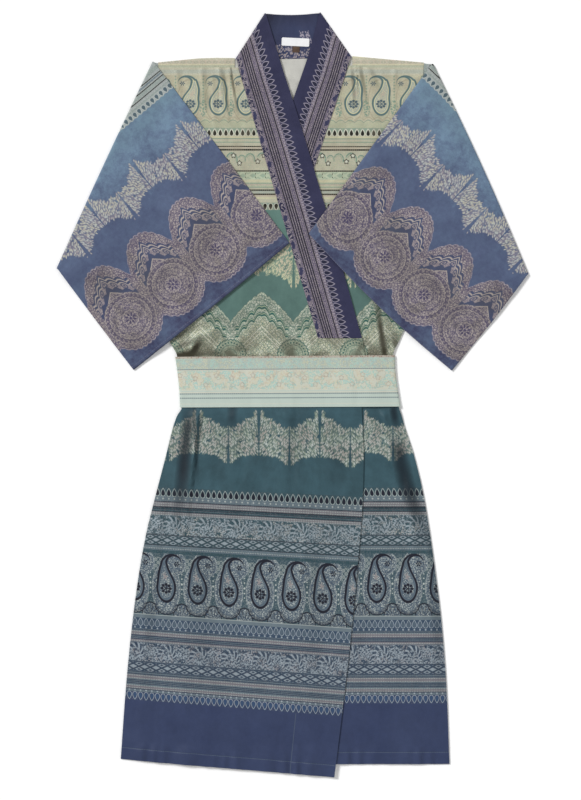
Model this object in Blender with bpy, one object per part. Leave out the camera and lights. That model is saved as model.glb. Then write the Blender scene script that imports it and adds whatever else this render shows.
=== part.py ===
"""A wrap robe in the kimono cut, laid flat on its back with both sleeves folded forward over the front.

The robe lies in the XY plane: +Y runs from the hem to the neck, +Z is up, away from the surface that it lies on.
Sizes are in millimetres until a mesh is made. Each piece of cloth is a sheet of points along the middle of its
wall, and the wall is then thickened to both sides. Right and left are the wearer's, so right is at -X.
"""

import math
from collections import namedtuple

import bpy

MM = 0.001

# Walls, and how the layers of cloth lie on each other
WALL = 1.2
GAP = 0.4
SEAM = 0.3
ARMHOLE_SEAM = 0.5
BAND_WALL = 2.0
BELT_WALL = 1.6
LABEL_WALL = 1.0
LAYER = WALL + GAP
BACK_LEVEL = WALL / 2
UNDER_LEVEL = BACK_LEVEL + LAYER
OVER_LEVEL = 4.8
BAND_RISE = (BAND_WALL - WALL) / 2

# Degrees: the turns of a fold, and the bend past which a mesh edge is sharp
HALF_TURN = (0, 45, 90, 135, 180)
SHARP = 40

# The over front leaves the level of the side seam and of the shoulder within these widths
SIDE_SLOPE = 50.0
SHOULDER_SLOPE = 60.0

# Side edges of the body
Side = namedtuple("Side", "y left right")
SIDES = (
    Side(565.0, -229.5, 222.7),
    Side(220.0, -216.0, 201.0),
    Side(116.0, -210.0, 190.0),
    Side(94.0, -210.2, 182.0),
    Side(66.0, -197.2, 169.8),
    Side(-22.0, -189.0, 180.0),
    Side(-36.0, -197.0, 184.8),
    Side(-57.0, -204.4, 190.8),
    Side(-98.0, -214.6, 204.4),
    Side(-168.0, -232.6, 221.6),
    Side(-240.0, -250.3, 233.9),
    Side(-305.0, -262.0, 243.0),
    Side(-388.0, -273.2, 253.2),
    Side(-498.0, -284.2, 261.5),
    Side(-620.0, -293.0, 266.1),
)

# Below the collar's end: the overlap panel's seam and free edge, and how far the over front's rows fall to its right
Overlap = namedtuple("Overlap", "y seam free tilt")
OVERLAP = (
    Overlap(96.0, 42.5, 117.3, 0.0),
    Overlap(66.0, 42.5, 121.6, 0.0),
    Overlap(-22.0, 42.4, 116.6, 0.0),
    Overlap(-57.0, 39.6, 118.5, 0.012),
    Overlap(-98.0, 36.2, 120.0, 0.030),
    Overlap(-168.0, 30.8, 118.0, 0.049),
    Overlap(-240.0, 25.3, 112.5, 0.057),
    Overlap(-305.0, 20.4, 106.6, 0.063),
    Overlap(-388.0, 14.2, 98.0, 0.070),
    Overlap(-498.0, 6.1, 85.2, 0.078),
    Overlap(-620.0, -4.9, 70.2, 0.084),
)
HEM = -620.0
UNDER_HEM_DROP = 8.5

# The hidden overlap of the under front, as straight lines from the collar's end to the hem
UNDER_SEAM_X = (-60.7, 7.0)
UNDER_FREE_X = (-136.0, -70.0)

# The shoulders and the back neck, as one line, and the back's turn over the shoulder
SHOULDER_LINE = ((-229.5, 563.8), (-161.7, 570.6), (-130.0, 571.6), (-97.8, 571.2), (99.6, 574.6), (222.7, 563.6))
SHOULDER_WRAP = 15.0
NECK_CLEARANCE = 1.5
NECK_DROP = 1.8

# Collar band: its outer edge runs straight from each neck fold to the lower end at COLLAR_END. Each row gives where
# on that line it starts, its inner end and the height of its middle, from one lower end to the other
Band = namedtuple("Band", "outer_y inner_x inner_y z")
COLLAR_END = 96.0
COLLAR_END_GAP = 0.6
OVER_BAND_END_X = 42.5
UNDER_BAND_END_X = -60.7
BAND_FOLD_RADIUS = 1.2
BAND_FOLD_Z = (3.4, 1.0)
OVER_BAND = (
    Band(96.0, 117.0, 96.0, 5.2),
    Band(212.0, 84.8, 212.0, 5.2),
    Band(311.4, 57.1, 311.4, 5.2),
    Band(403.8, 29.6, 403.8, 5.2),
    Band(466.7, 6.8, 478.6, 5.2),
    Band(526.2, -17.0, 551.6, 4.8),
)
UNDER_BAND = (
    Band(523.4, 25.2, 573.8, 3.4),
    Band(460.9, 0.0, 500.8, 2.6),
    Band(372.5, -30.5, 402.0, 2.6),
    Band(235.5, -83.0, 248.0, 2.6),
    Band(96.0, -136.0, 96.0, 2.6),
)
RIGHT_NECK_FOLD = ((-97.8, 571.2), (-47.9, 649.0))
LEFT_NECK_FOLD = ((99.6, 574.6), (46.8, 650.1))
NECK_TOP_SAG = 2.5

# Sleeves: tubes that run from the armhole to the fold and, turned over there, from the fold to the cuff
SLEEVE_FIELDS = "name side armhole_y fold_top fold_bottom cuff_top cuff_bottom cuff_bow fold_bow edge_bow"
Sleeve = namedtuple("Sleeve", SLEEVE_FIELDS)
SLEEVES = (
    Sleeve(
        "right_sleeve", -1, (563.6, 223.6), (-238.8, 566.6), (-402.4, 214.2), (-5.4, 257.0), (-271.2, 41.7),
        cuff_bow=1.5, fold_bow=1.5, edge_bow=0.6,
    ),
    Sleeve(
        "left_sleeve", 1, (563.6, 215.6), (238.4, 562.9), (401.0, 204.5), (26.5, 272.7), (270.1, 40.5),
        cuff_bow=7.0, fold_bow=3.8, edge_bow=2.2,
    ),
)
TUBE_RADIUS = LAYER / 2
TUBE_INSET = TUBE_RADIUS + WALL / 2
FOLD_RADIUS = LAYER
FOLD_Z = BACK_LEVEL + TUBE_RADIUS + FOLD_RADIUS
FOLD_INSET = FOLD_RADIUS + TUBE_RADIUS + WALL / 2
FLOOR_LEVEL = TUBE_RADIUS + WALL / 2

# How a sleeve comes down from what it lies on: it starts LEAD outside the edge and is down after DROP
LEAD = 14.0
BAND_LEAD = 21.0
DROP = 45.0
LAYER_TOP = UNDER_LEVEL + WALL / 2 + GAP
OVER_RISE = OVER_LEVEL - UNDER_LEVEL
BAND_TOP = OVER_LEVEL + BAND_RISE + BAND_WALL / 2 + GAP

# Belt: its edges at the two side seams, and the slope of its front down to each side
BELT_TOP = (64.0, 66.8)
BELT_BOTTOM = (-22.0, -20.5)
BELT_BACK_LEVEL = BELT_WALL / 2
BELT_LIFT = BELT_WALL + GAP
BELT_SIDE_LEVEL = UNDER_LEVEL + BELT_LIFT + WALL / 2 + GAP + BELT_WALL / 2
BELT_SLOPE = 42.0
BELT_COLUMNS = (0, 0.03, 0.06, 0.09, 0.12, 0.2, 0.35, 0.5, 0.65, 0.8, 0.88, 0.91, 0.94, 0.97, 1)
LIFT_MARGIN = 3.0
LIFT_SLOPE = 26.0

# Folds of the fronts, as ridges from (x0, y0) to (x1, y1), half a width to each side. Each rises over FOLD_RISE of its
# length, from FOLD_LEAD_IN before its first point, and the belt presses it flat within FOLD_WINDOW
Fold = namedtuple("Fold", "x0 y0 x1 y1 half_width height")
OVER_FOLDS = (
    Fold(-190.0, 72.0, -128.0, 124.0, 13.0, 5.0),
    Fold(-163.0, -30.0, -187.0, -255.0, 17.0, 4.5),
    Fold(-107.0, -30.0, -112.0, -220.0, 30.0, 2.0),
    Fold(-22.0, -30.0, -30.0, -250.0, 34.0, 1.5),
)
UNDER_FOLDS = (
    Fold(152.0, 68.0, 148.0, 146.0, 11.0, 4.0),
    Fold(158.0, -28.0, 192.0, -190.0, 14.0, 4.5),
)
FOLD_WINDOW = 14.0
FOLD_LEAD_IN = 0.1
FOLD_RISE = 0.15
FOLD_FADE = 0.7
BELT_CLEARANCE = 1.0

# Label and size tab, on the inside of the back neck
LABEL_AT = (4.2, 599.6)
LABEL_SIZE = (47.0, 13.8)
TAB_AT = (5.1, 587.0)
TAB_SIZE = (12.2, 9.0)
LABEL_TURN = math.radians(-2.8)

# Rows of the body, from hem to shoulder, and columns across each panel
SKIRT_ROWS = 14
SKIRT_TOP = -53.0
BELT_ROWS = (-43.0, -32.0, -22.0, 22.0, 69.8, 78.0, 87.0)
FRONT_ROWS = (96.0, 108.0, 122.0, 140.0, 165.0, 195.0, 230.0, 270.0, 315.0, 360.0, 405.0, 450.0, 490.0, 525.0)
OVER_COLUMNS = (0, 0.04, 0.08, 0.12, 0.16, 0.20, 0.25, 0.31, 0.38, 0.46, 0.55, 0.66, 0.77, 0.88, 1)
UNDER_COLUMNS = (0, 0.05, 0.09, 0.13, 0.17, 0.21, 0.26, 0.34, 0.45, 0.6, 0.8, 1)
OVERLAP_COLUMNS = (0, 0.25, 0.5, 0.75, 1)
BACK_COLUMNS = (0, 0.08, 0.15, 0.22, 0.294, 0.40, 0.51, 0.62, 0.728, 0.80, 0.87, 0.93, 1)
NECK_COLUMNS = (4, 8)


def mix(a, b, t):
    """Between a and b, numbers or points."""
    if isinstance(a, tuple):
        return tuple(mix(p, q, t) for p, q in zip(a, b))
    return a + (b - a) * t


def ease(t):
    """A smooth step from 0 to 1."""
    t = min(1.0, max(0.0, t))
    return t * t * (3 - 2 * t)


def spread(start, end, count):
    """count + 1 evenly spaced values, from start to end."""
    return [mix(start, end, i / count) for i in range(count + 1)]


def straight(points, x):
    """The height at x of a line with corners, which is given from left to right."""
    for (x0, y0), (x1, y1) in zip(points, points[1:]):
        if x <= x1:
            break
    return mix(y0, y1, (x - x0) / (x1 - x0))


def smooth(table, column):
    """A function of y that runs smoothly through one column of a table, without overshooting its values."""
    rows = sorted((row.y, getattr(row, column)) for row in table)
    ys, xs = zip(*rows)
    steps = [(xs[i + 1] - xs[i]) / (ys[i + 1] - ys[i]) for i in range(len(ys) - 1)]
    slopes = [steps[0]]
    for before, after in zip(steps, steps[1:]):
        slopes.append(0.0 if before * after <= 0 else 2 * before * after / (before + after))
    slopes.append(steps[-1])

    def at(y):
        i = max(k for k in range(len(ys) - 1) if k == 0 or y >= ys[k])
        span = ys[i + 1] - ys[i]
        t = (y - ys[i]) / span
        return (
            xs[i] * (1 + 2 * t) * (1 - t) ** 2
            + slopes[i] * span * t * (1 - t) ** 2
            + xs[i + 1] * t * t * (3 - 2 * t)
            + slopes[i + 1] * span * t * t * (t - 1)
        )

    return at


left_side, right_side = smooth(SIDES, "left"), smooth(SIDES, "right")
seam_edge, free_edge, row_tilt = (smooth(OVERLAP, name) for name in ("seam", "free", "tilt"))


def shoulder(x):
    return straight(SHOULDER_LINE, x)


def lift(y):
    """How far the belt's back, which lies underneath, lifts the body."""
    above = y - (max(BELT_TOP) + LIFT_MARGIN)
    below = min(BELT_BOTTOM) - LIFT_MARGIN - y
    return BELT_LIFT * ease(1 - max(above, below, 0.0) / LIFT_SLOPE)


def over_rise(x, y, lead=0.0):
    """How far the over front stands above the level of its side seam."""
    inside = ease((x - left_side(y) + lead) / SIDE_SLOPE)
    below = ease((shoulder(x) - SHOULDER_WRAP - y + lead) / SHOULDER_SLOPE)
    return OVER_RISE * min(inside, below)


def ridge(fold, x, y):
    """The height of one fold at a point. It rises at its start and fades towards its far end."""
    along_x, along_y = fold.x1 - fold.x0, fold.y1 - fold.y0
    length = math.hypot(along_x, along_y)
    t = ((x - fold.x0) * along_x + (y - fold.y0) * along_y) / length**2
    across = ((x - fold.x0) * along_y - (y - fold.y0) * along_x) / length
    if abs(across) >= fold.half_width or not -FOLD_LEAD_IN < t < 1:
        return 0.0
    profile = math.cos(math.pi / 2 * across / fold.half_width) ** 2
    return fold.height * profile * ease((t + FOLD_LEAD_IN) / FOLD_RISE) * (1 - max(t, 0.0)) ** FOLD_FADE


def folds(table, x, y):
    """The folds of a front, pressed flat where the belt crosses them."""
    clear = max(y - max(BELT_TOP), min(BELT_BOTTOM) - y) - BELT_CLEARANCE
    return max(ridge(fold, x, y) for fold in table) * ease(clear / FOLD_WINDOW)


def over_z(x, y):
    return UNDER_LEVEL + over_rise(x, y) + lift(y) + folds(OVER_FOLDS, x, y)


def under_z(x, y):
    return UNDER_LEVEL + lift(y) + folds(UNDER_FOLDS, x, y)


def over_band_outer(y):
    """The line along which the over front is sewn to the collar band."""
    neck_x, neck_y = RIGHT_NECK_FOLD[0]
    return mix(OVER_BAND_END_X, neck_x, (y - COLLAR_END) / (neck_y - COLLAR_END))


def under_band_outer(y):
    neck_x, neck_y = LEFT_NECK_FOLD[0]
    return mix(UNDER_BAND_END_X, neck_x, (y - COLLAR_END) / (neck_y - COLLAR_END))


def body_rows():
    """Rows from the hem to just below the collar's end."""
    return spread(HEM, SKIRT_TOP, SKIRT_ROWS) + list(BELT_ROWS)


def sheet(name, rows, wall, material, closed=False, keep=None):
    """A wall of cloth through a grid of points. A closed one is a ring in each row. keep says which cells are cloth."""
    width = len(rows[0])
    faces = []
    for i in range(len(rows) - 1):
        for j in range(width if closed else width - 1):
            if keep is None or keep(i, j):
                k = (j + 1) % width
                faces.append((i * width + j, i * width + k, (i + 1) * width + k, (i + 1) * width + j))
    used = sorted({corner for face in faces for corner in face})
    new_number = {old: new for new, old in enumerate(used)}
    points = [point for row in rows for point in row]
    mesh = bpy.data.meshes.new(name)
    mesh.from_pydata(
        [tuple(c * MM for c in points[old]) for old in used], [], [[new_number[c] for c in face] for face in faces]
    )
    mesh.materials.append(material)
    body = bpy.data.objects.new(name, mesh)
    bpy.context.collection.objects.link(body)
    thickness = body.modifiers.new("Wall", "SOLIDIFY")
    thickness.thickness = wall * MM
    thickness.offset = 0.0
    mesh.shade_smooth()
    mesh.set_sharp_from_angle(angle=math.radians(SHARP))
    return body


def cloth_material(name, colour, roughness):
    material = bpy.data.materials.new(name)
    material.use_nodes = True
    shader = material.node_tree.nodes["Principled BSDF"]
    shader.inputs["Base Color"].default_value = (*colour, 1.0)
    shader.inputs["Roughness"].default_value = roughness
    shader.inputs["Metallic"].default_value = 0.0
    return material


def make_back(material):
    """The back, from the hem up to the neck and over each shoulder to the seam on the front."""
    rows = []
    for y in body_rows() + list(FRONT_ROWS):
        fall = ease((SKIRT_TOP - y) / (SKIRT_TOP - HEM))
        row = []
        for u in BACK_COLUMNS:
            x = mix(left_side(y), right_side(y), u)
            lower = y - UNDER_HEM_DROP * fall * u
            row.append((x, lower, BACK_LEVEL + lift(lower)))
        rows.append(row)
    neck = (RIGHT_NECK_FOLD[0][0], LEFT_NECK_FOLD[0][0])
    top_columns = [mix(SHOULDER_LINE[0][0], SHOULDER_LINE[-1][0], u) for u in BACK_COLUMNS]
    rows.append([(x, shoulder(x) - SEAM, BACK_LEVEL) for x in top_columns])
    for column in range(NECK_COLUMNS[0], NECK_COLUMNS[1] + 1):
        x = top_columns[column]
        rows[-1][column] = (x, shoulder(x) - NECK_DROP, BACK_LEVEL)
    first_wrap = len(rows) - 1
    radius = LAYER / 2
    for angle in HALF_TURN[1:]:
        turn = math.radians(angle)
        reach, height = radius * math.sin(turn), BACK_LEVEL + radius * (1 - math.cos(turn))
        rows.append([(x, shoulder(x) - SEAM + reach, height) for x in top_columns])
    last = [(x, shoulder(x) - SHOULDER_WRAP, UNDER_LEVEL) for x in top_columns]
    last[0], last[-1] = (left_side(last[0][1]), *last[0][1:]), (right_side(last[-1][1]), *last[-1][1:])
    rows.append(last)
    clear_of_collar = {NECK_COLUMNS[0]: neck[0] - NECK_CLEARANCE, NECK_COLUMNS[1]: neck[1] + NECK_CLEARANCE}
    for row in rows[first_wrap + 1:]:
        for column, x in clear_of_collar.items():
            row[column] = (x, *row[column][1:])

    def keep(i, j):
        return i < first_wrap or not NECK_COLUMNS[0] <= j < NECK_COLUMNS[1]

    return sheet("back", rows, WALL, material, keep=keep)


def front_top(x):
    return shoulder(x) - SHOULDER_WRAP - SEAM


def make_right_front(material):
    """The front that is worn over the other, up to the seam of its overlap panel and to the collar."""
    rows = []
    for y in body_rows():
        left, right = left_side(y), seam_edge(y) - SEAM
        row = [mix(left, right, u) for u in OVER_COLUMNS]
        rows.append([(x, y - row_tilt(y) * (x - left), over_z(x, y - row_tilt(y) * (x - left))) for x in row])
    for y in FRONT_ROWS:
        row = [mix(left_side(y), over_band_outer(y) - SEAM, u) for u in OVER_COLUMNS]
        rows.append([(x, y, over_z(x, y)) for x in row])
    side, neck = left_side(front_top(SHOULDER_LINE[0][0])), over_band_outer(front_top(RIGHT_NECK_FOLD[0][0])) - SEAM
    rows.append([(x, front_top(x), over_z(x, front_top(x))) for x in (mix(side, neck, u) for u in OVER_COLUMNS)])
    return sheet("right_front", rows, WALL, material)


def make_left_front(material):
    """The front that lies under the other. It shows between the other's free edge and its own side seam."""
    rows = []
    for y in body_rows() + list(FRONT_ROWS):
        fall = UNDER_HEM_DROP * ease((SKIRT_TOP - y) / (SKIRT_TOP - HEM))
        inner = under_band_outer(y) if y >= COLLAR_END else mix(*UNDER_SEAM_X, (COLLAR_END - y) / (COLLAR_END - HEM))
        row = [mix(right_side(y), inner + SEAM, u) for u in UNDER_COLUMNS]
        rows.append([(x, y - fall, under_z(x, y - fall)) for x in row])
    side, neck = right_side(front_top(SHOULDER_LINE[-1][0])), under_band_outer(front_top(LEFT_NECK_FOLD[0][0])) + SEAM
    rows.append([(x, front_top(x), UNDER_LEVEL) for x in (mix(side, neck, u) for u in UNDER_COLUMNS)])
    return sheet("left_front", rows, WALL, material)


def make_right_overlap(material):
    rows = []
    for y in body_rows() + [COLLAR_END]:
        left = left_side(y)
        row = [mix(seam_edge(y) + SEAM, free_edge(y), u) for u in OVERLAP_COLUMNS]
        gap = 0.0 if y < COLLAR_END else COLLAR_END_GAP
        rows.append([(x, y - row_tilt(y) * (x - left) - gap, over_z(x, y - row_tilt(y) * (x - left))) for x in row])
    return sheet("right_overlap", rows, WALL, material)


def make_left_overlap(material):
    rows = []
    for y in body_rows() + [COLLAR_END]:
        fall = UNDER_HEM_DROP * ease((SKIRT_TOP - y) / (SKIRT_TOP - HEM))
        gap = 0.0 if y < COLLAR_END else COLLAR_END_GAP
        t = (COLLAR_END - y) / (COLLAR_END - HEM)
        row = [mix(mix(*UNDER_SEAM_X, t) - SEAM, mix(*UNDER_FREE_X, t), u) for u in OVERLAP_COLUMNS[::2]]
        rows.append([(x, y - fall - gap, UNDER_LEVEL + lift(y)) for x in row])
    return sheet("left_overlap", rows, WALL, material)


def neck_fold_rows(fold, outward, columns):
    """Rows round a fold of the collar, from the front band down to the back neck."""
    axis = [tuple(p - BAND_FOLD_RADIUS * n - BAND_WALL / 2 * n for p, n in zip(mix(*fold, u), outward)) for u in columns]
    middle = sum(BAND_FOLD_Z) / 2
    rows = []
    for angle in HALF_TURN:
        turn = math.radians(angle)
        reach, height = BAND_FOLD_RADIUS * math.sin(turn), middle + BAND_FOLD_RADIUS * math.cos(turn)
        rows.append([(x + reach * outward[0], y + reach * outward[1], height) for x, y in axis])
    return rows


def outward_of(fold, side):
    """The unit direction across a fold line that points away from the body."""
    dx, dy = fold[1][0] - fold[0][0], fold[1][1] - fold[0][1]
    length = math.hypot(dx, dy)
    across = (dy / length, -dx / length)
    return across if across[0] * side > 0 else (-across[0], -across[1])


def make_collar(material):
    """One band: down the over front, folded at the neck, flat round the back neck, folded, down the under front."""
    columns = spread(0, 1, 3)

    def band_rows(table, outer):
        return [
            [(*mix((outer(b.outer_y), b.outer_y), (b.inner_x, b.inner_y), u), b.z) for u in columns] for b in table
        ]

    right_fold = neck_fold_rows(RIGHT_NECK_FOLD, outward_of(RIGHT_NECK_FOLD, -1), columns)
    left_fold = neck_fold_rows(LEFT_NECK_FOLD, outward_of(LEFT_NECK_FOLD, 1), columns)
    back_neck = []
    for t in spread(0, 1, 4)[1:-1]:
        sag = NECK_TOP_SAG * math.sin(math.pi * t)
        row = [mix(a, b, t) for a, b in zip(right_fold[-1], left_fold[-1])]
        back_neck.append([(x, y - sag * u, z) for (x, y, z), u in zip(row, columns)])
    over, under = band_rows(OVER_BAND, over_band_outer), band_rows(UNDER_BAND, under_band_outer)
    rows = over + right_fold + back_neck + left_fold[::-1] + under
    return sheet("collar_band", rows, BAND_WALL, material)


def ring(starts, up, across):
    """A flattened tube's cross-section: along its lower layer, round one edge, back along the upper layer."""
    lower = [tuple(c - TUBE_RADIUS * n for c, n in zip(p, up)) for p in starts]
    upper = [tuple(c + TUBE_RADIUS * n for c, n in zip(p, up)) for p in starts[::-1]]

    def edge(centre, sign):
        points = []
        for angle in HALF_TURN[1:-1]:
            turn = math.radians(angle - 90)
            out, rise = TUBE_RADIUS * math.cos(turn) * sign, TUBE_RADIUS * math.sin(turn) * sign
            points.append(tuple(c + out * a + rise * n for c, a, n in zip(centre, across, up)))
        return points

    return lower + edge(starts[-1], 1) + upper + edge(starts[0], -1)


def side_edge(sleeve, y):
    return left_side(y) if sleeve.side < 0 else right_side(y)


def sleeve_support(sleeve, x, y):
    """How high above the surface the turned part of a sleeve lies, over the body, the sleeve's own start or nothing."""
    inside = (side_edge(sleeve, y) - x) * sleeve.side
    under = LAYER_TOP * ease(1 + (inside + LEAD) / DROP)
    if sleeve.side < 0:
        under += over_rise(x, y, LEAD) if inside > -LEAD else 0.0
    else:
        low, high = OVER_BAND[0], OVER_BAND[-2]
        off_band = x - mix(low.inner_x, high.inner_x, (y - low.inner_y) / (high.inner_y - low.inner_y))
        under += (BAND_TOP - LAYER_TOP) * ease(1 - (off_band - BAND_LEAD) / DROP)
    underarm = sleeve.armhole_y[1]
    (x0, y0), (x1, y1) = (side_edge(sleeve, underarm), underarm), sleeve.fold_bottom
    below = mix(y0, y1, (x - x0) / (x1 - x0)) - y
    return max(under, LAYER_TOP * ease(1 - (below - LEAD / 2) / DROP))


def make_sleeve(sleeve, material):
    """A tube of cloth: straight from the armhole to the fold, round the fold, and over the front to the cuff."""
    fold = (sleeve.fold_top, sleeve.fold_bottom)
    outward = outward_of(fold, sleeve.side)
    steps = spread(0, 1, 9)

    def flat_row(top, bottom, bow=(0.0, 0.0)):
        length = math.dist(top, bottom)
        inset = TUBE_INSET / length
        across = tuple((b - a) / length for a, b in zip(top, bottom))
        points = []
        for v in steps:
            x, y = mix(top, bottom, mix(inset, 1 - inset, v))
            arch = math.sin(math.pi * v)
            points.append((x + bow[0] * arch, y + bow[1] * arch))
        return points, (*across, 0.0)

    def moved(point, distance):
        return tuple(p + distance * n for p, n in zip(point, outward))

    bow = tuple(sleeve.fold_bow * n for n in outward)
    fold_line, fold_across = flat_row(*(moved(p, -FOLD_INSET) for p in fold), bow)
    top, bottom = sleeve.armhole_y
    armhole = [mix(top - TUBE_INSET, bottom + TUBE_INSET, v) for v in steps]
    armhole = [(side_edge(sleeve, y) + ARMHOLE_SEAM * sleeve.side, y) for y in armhole]
    rows = []
    armhole_across = (0.0, -1.0, 0.0)
    for t in spread(0, 1, 3)[:-1]:
        row = [(*mix(a, b, t), BACK_LEVEL + TUBE_RADIUS) for a, b in zip(armhole, fold_line)]
        rows.append(ring(row, (0.0, 0.0, 1.0), mix(armhole_across, fold_across, t)))
    for angle in HALF_TURN:
        turn = math.radians(angle)
        reach, height = FOLD_RADIUS * math.sin(turn), FOLD_Z - FOLD_RADIUS * math.cos(turn)
        up = (-outward[0] * math.sin(turn), -outward[1] * math.sin(turn), math.cos(turn))
        rows.append(ring([(*moved(p, reach), height) for p in fold_line], up, fold_across))
    cuff_outward = (sleeve.cuff_bottom[1] - sleeve.cuff_top[1], sleeve.cuff_top[0] - sleeve.cuff_bottom[0])
    scale = sleeve.cuff_bow / math.hypot(*cuff_outward) * sleeve.side
    cuff, cuff_across = flat_row(sleeve.cuff_top, sleeve.cuff_bottom, tuple(c * scale for c in cuff_outward))
    edge_outward = outward_of((sleeve.fold_bottom, sleeve.cuff_bottom), sleeve.side)
    for t in spread(0, 1, 10)[1:]:
        bulge = sleeve.edge_bow * math.sin(math.pi * t)
        row = [mix(a, b, t) for a, b in zip(fold_line, cuff)]
        row = [(x + bulge * v * edge_outward[0], y + bulge * v * edge_outward[1]) for (x, y), v in zip(row, steps)]
        row = [(x, y, FLOOR_LEVEL + sleeve_support(sleeve, x, y)) for x, y in row]
        rows.append(ring(row, (0.0, 0.0, -1.0), mix(fold_across, cuff_across, t)))
    return sheet(sleeve.name, rows, WALL, material, closed=True)


def make_belt(material):
    """A wide sash round the waist, under the back and over both fronts."""
    radius = (BELT_SIDE_LEVEL - BELT_BACK_LEVEL) / 2
    middle = (BELT_SIDE_LEVEL + BELT_BACK_LEVEL) / 2
    rows = []
    for v in spread(0, 1, 3):
        left_y, right_y = (mix(top, bottom, v) for top, bottom in zip(BELT_TOP, BELT_BOTTOM))
        left, right = left_side(left_y), right_side(right_y)
        row = []
        for t in BELT_COLUMNS:
            x = mix(left, right, t)
            rise = OVER_RISE * ease(min(x - left, right - x) / BELT_SLOPE)
            row.append((x, mix(left_y, right_y, t), BELT_SIDE_LEVEL + rise))
        for angle in HALF_TURN[1:-1]:
            turn = math.radians(angle)
            row.append((right + radius * math.sin(turn), right_y, middle + radius * math.cos(turn)))
        for t in spread(1, 0, 8):
            row.append((mix(left, right, t), mix(left_y, right_y, t), BELT_BACK_LEVEL))
        for angle in HALF_TURN[3:0:-1]:
            turn = math.radians(angle)
            row.append((left - radius * math.sin(turn), left_y, middle + radius * math.cos(turn)))
        rows.append(row)
    return sheet("belt", rows, BELT_WALL, material, closed=True)


def make_patch(name, at, size, material):
    """A small flat piece on the inside of the back neck."""
    height = BAND_WALL + SEAM + LABEL_WALL / 2
    rows = []
    for v in (-0.5, 0.5):
        row = []
        for u in (-0.5, 0, 0.5):
            x, y = u * size[0], v * size[1]
            turned_x = x * math.cos(LABEL_TURN) - y * math.sin(LABEL_TURN)
            turned_y = x * math.sin(LABEL_TURN) + y * math.cos(LABEL_TURN)
            row.append((at[0] + turned_x, at[1] + turned_y, height))
        rows.append(row)
    return sheet(name, rows, LABEL_WALL, material)


def main():
    for old in list(bpy.data.objects):
        bpy.data.objects.remove(old, do_unlink=True)
    body_cloth = cloth_material("Printed body cloth", (0.16, 0.24, 0.25), 0.6)
    sleeve_cloth = cloth_material("Printed sleeve cloth", (0.16, 0.18, 0.30), 0.6)
    collar_cloth = cloth_material("Printed collar cloth", (0.11, 0.09, 0.19), 0.6)
    belt_cloth = cloth_material("Printed belt cloth", (0.62, 0.67, 0.58), 0.6)
    label_cloth = cloth_material("White label tape", (0.85, 0.85, 0.86), 0.5)
    tab_cloth = cloth_material("Brown tab tape", (0.10, 0.05, 0.03), 0.6)
    make_back(body_cloth)
    make_right_front(body_cloth)
    make_left_front(body_cloth)
    make_right_overlap(body_cloth)
    make_left_overlap(body_cloth)
    make_collar(collar_cloth)
    for sleeve in SLEEVES:
        make_sleeve(sleeve, sleeve_cloth)
    make_belt(belt_cloth)
    make_patch("neck_label", LABEL_AT, LABEL_SIZE, label_cloth)
    make_patch("size_tab", TAB_AT, TAB_SIZE, tab_cloth)


main()
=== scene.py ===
"""Lays a printed wrap robe in the kimono cut flat on a pale floor, its sleeves folded over the front.

The robe lies in the XY plane: +Y runs from the hem to the neck, +Z is up. Lengths in the tables are
millimetres. Right and left are the wearer's, so right is at -X. Each cloth has a UV map named Print,
in metres, in which its print lies straight, as it did on the bolt.
"""

import cmath
import math
from collections import namedtuple

import bpy
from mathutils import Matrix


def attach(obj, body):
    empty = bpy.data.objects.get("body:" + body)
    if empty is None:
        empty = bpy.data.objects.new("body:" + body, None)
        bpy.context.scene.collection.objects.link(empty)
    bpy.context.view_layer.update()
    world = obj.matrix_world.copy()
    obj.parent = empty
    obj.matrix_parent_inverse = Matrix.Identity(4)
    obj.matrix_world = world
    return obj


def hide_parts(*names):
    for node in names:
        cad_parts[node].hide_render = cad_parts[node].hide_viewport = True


bl_info = {
    "name": "Kimono robe, laid flat",
    "version": (1, 0, 0),
    "blender": (4, 5, 0),
    "location": "3D View > Sidebar > Robe",
    "description": "Cuts, prints and lays out a wrap robe with a collar band, folded sleeves and a belt",
    "category": "Object",
}

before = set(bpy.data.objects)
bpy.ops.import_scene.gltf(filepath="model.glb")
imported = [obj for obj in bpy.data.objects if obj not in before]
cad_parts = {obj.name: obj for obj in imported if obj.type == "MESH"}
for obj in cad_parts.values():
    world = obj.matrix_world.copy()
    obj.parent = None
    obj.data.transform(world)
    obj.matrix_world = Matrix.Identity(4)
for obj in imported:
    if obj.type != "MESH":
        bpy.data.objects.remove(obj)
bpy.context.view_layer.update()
MM = 0.001

# How the layers of cloth lie on each other
WALL = 1.2
GAP = 0.4
SEAM = 0.05
ARMHOLE_SEAM = 0.5
BAND_WALL = 2
BELT_WALL = 1.6
LABEL_WALL = 1
LABEL_SHARE = 0.7  # Of the solid label's wall, so that its cloth lies clear of the collar
LAYER = WALL + GAP
BACK_LEVEL = WALL / 2
UNDER_LEVEL = BACK_LEVEL + LAYER
OVER_LEVEL = 4.8
BAND_RISE = (BAND_WALL - WALL) / 2
OVER_RISE = OVER_LEVEL - UNDER_LEVEL
SIDE_SLOPE = 50
SHOULDER_SLOPE = 60
CALM_EDGE = 70  # How wide the strip is, along the robe's edges, in which its unevenness dies away
UNEVEN = 1.5


def table(fields, *rows):
    """Rows of values, with a name for each column."""
    row_of = namedtuple("Row", fields)
    return [row_of(*row) for row in rows]


# Side edges of the body
SIDES = table(
    "y left right",
    (565, -229.5, 222.7), (220, -216, 201), (116, -210, 190), (94, -210.2, 182), (66, -197.2, 169.8),
    (-22, -189, 180), (-36, -197, 184.8), (-57, -204.4, 190.8), (-98, -214.6, 204.4), (-168, -232.6, 221.6),
    (-240, -250.3, 233.9), (-305, -262, 243), (-388, -273.2, 253.2), (-498, -284.2, 261.5),
    (-620, -293, 266.1),
)

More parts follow.
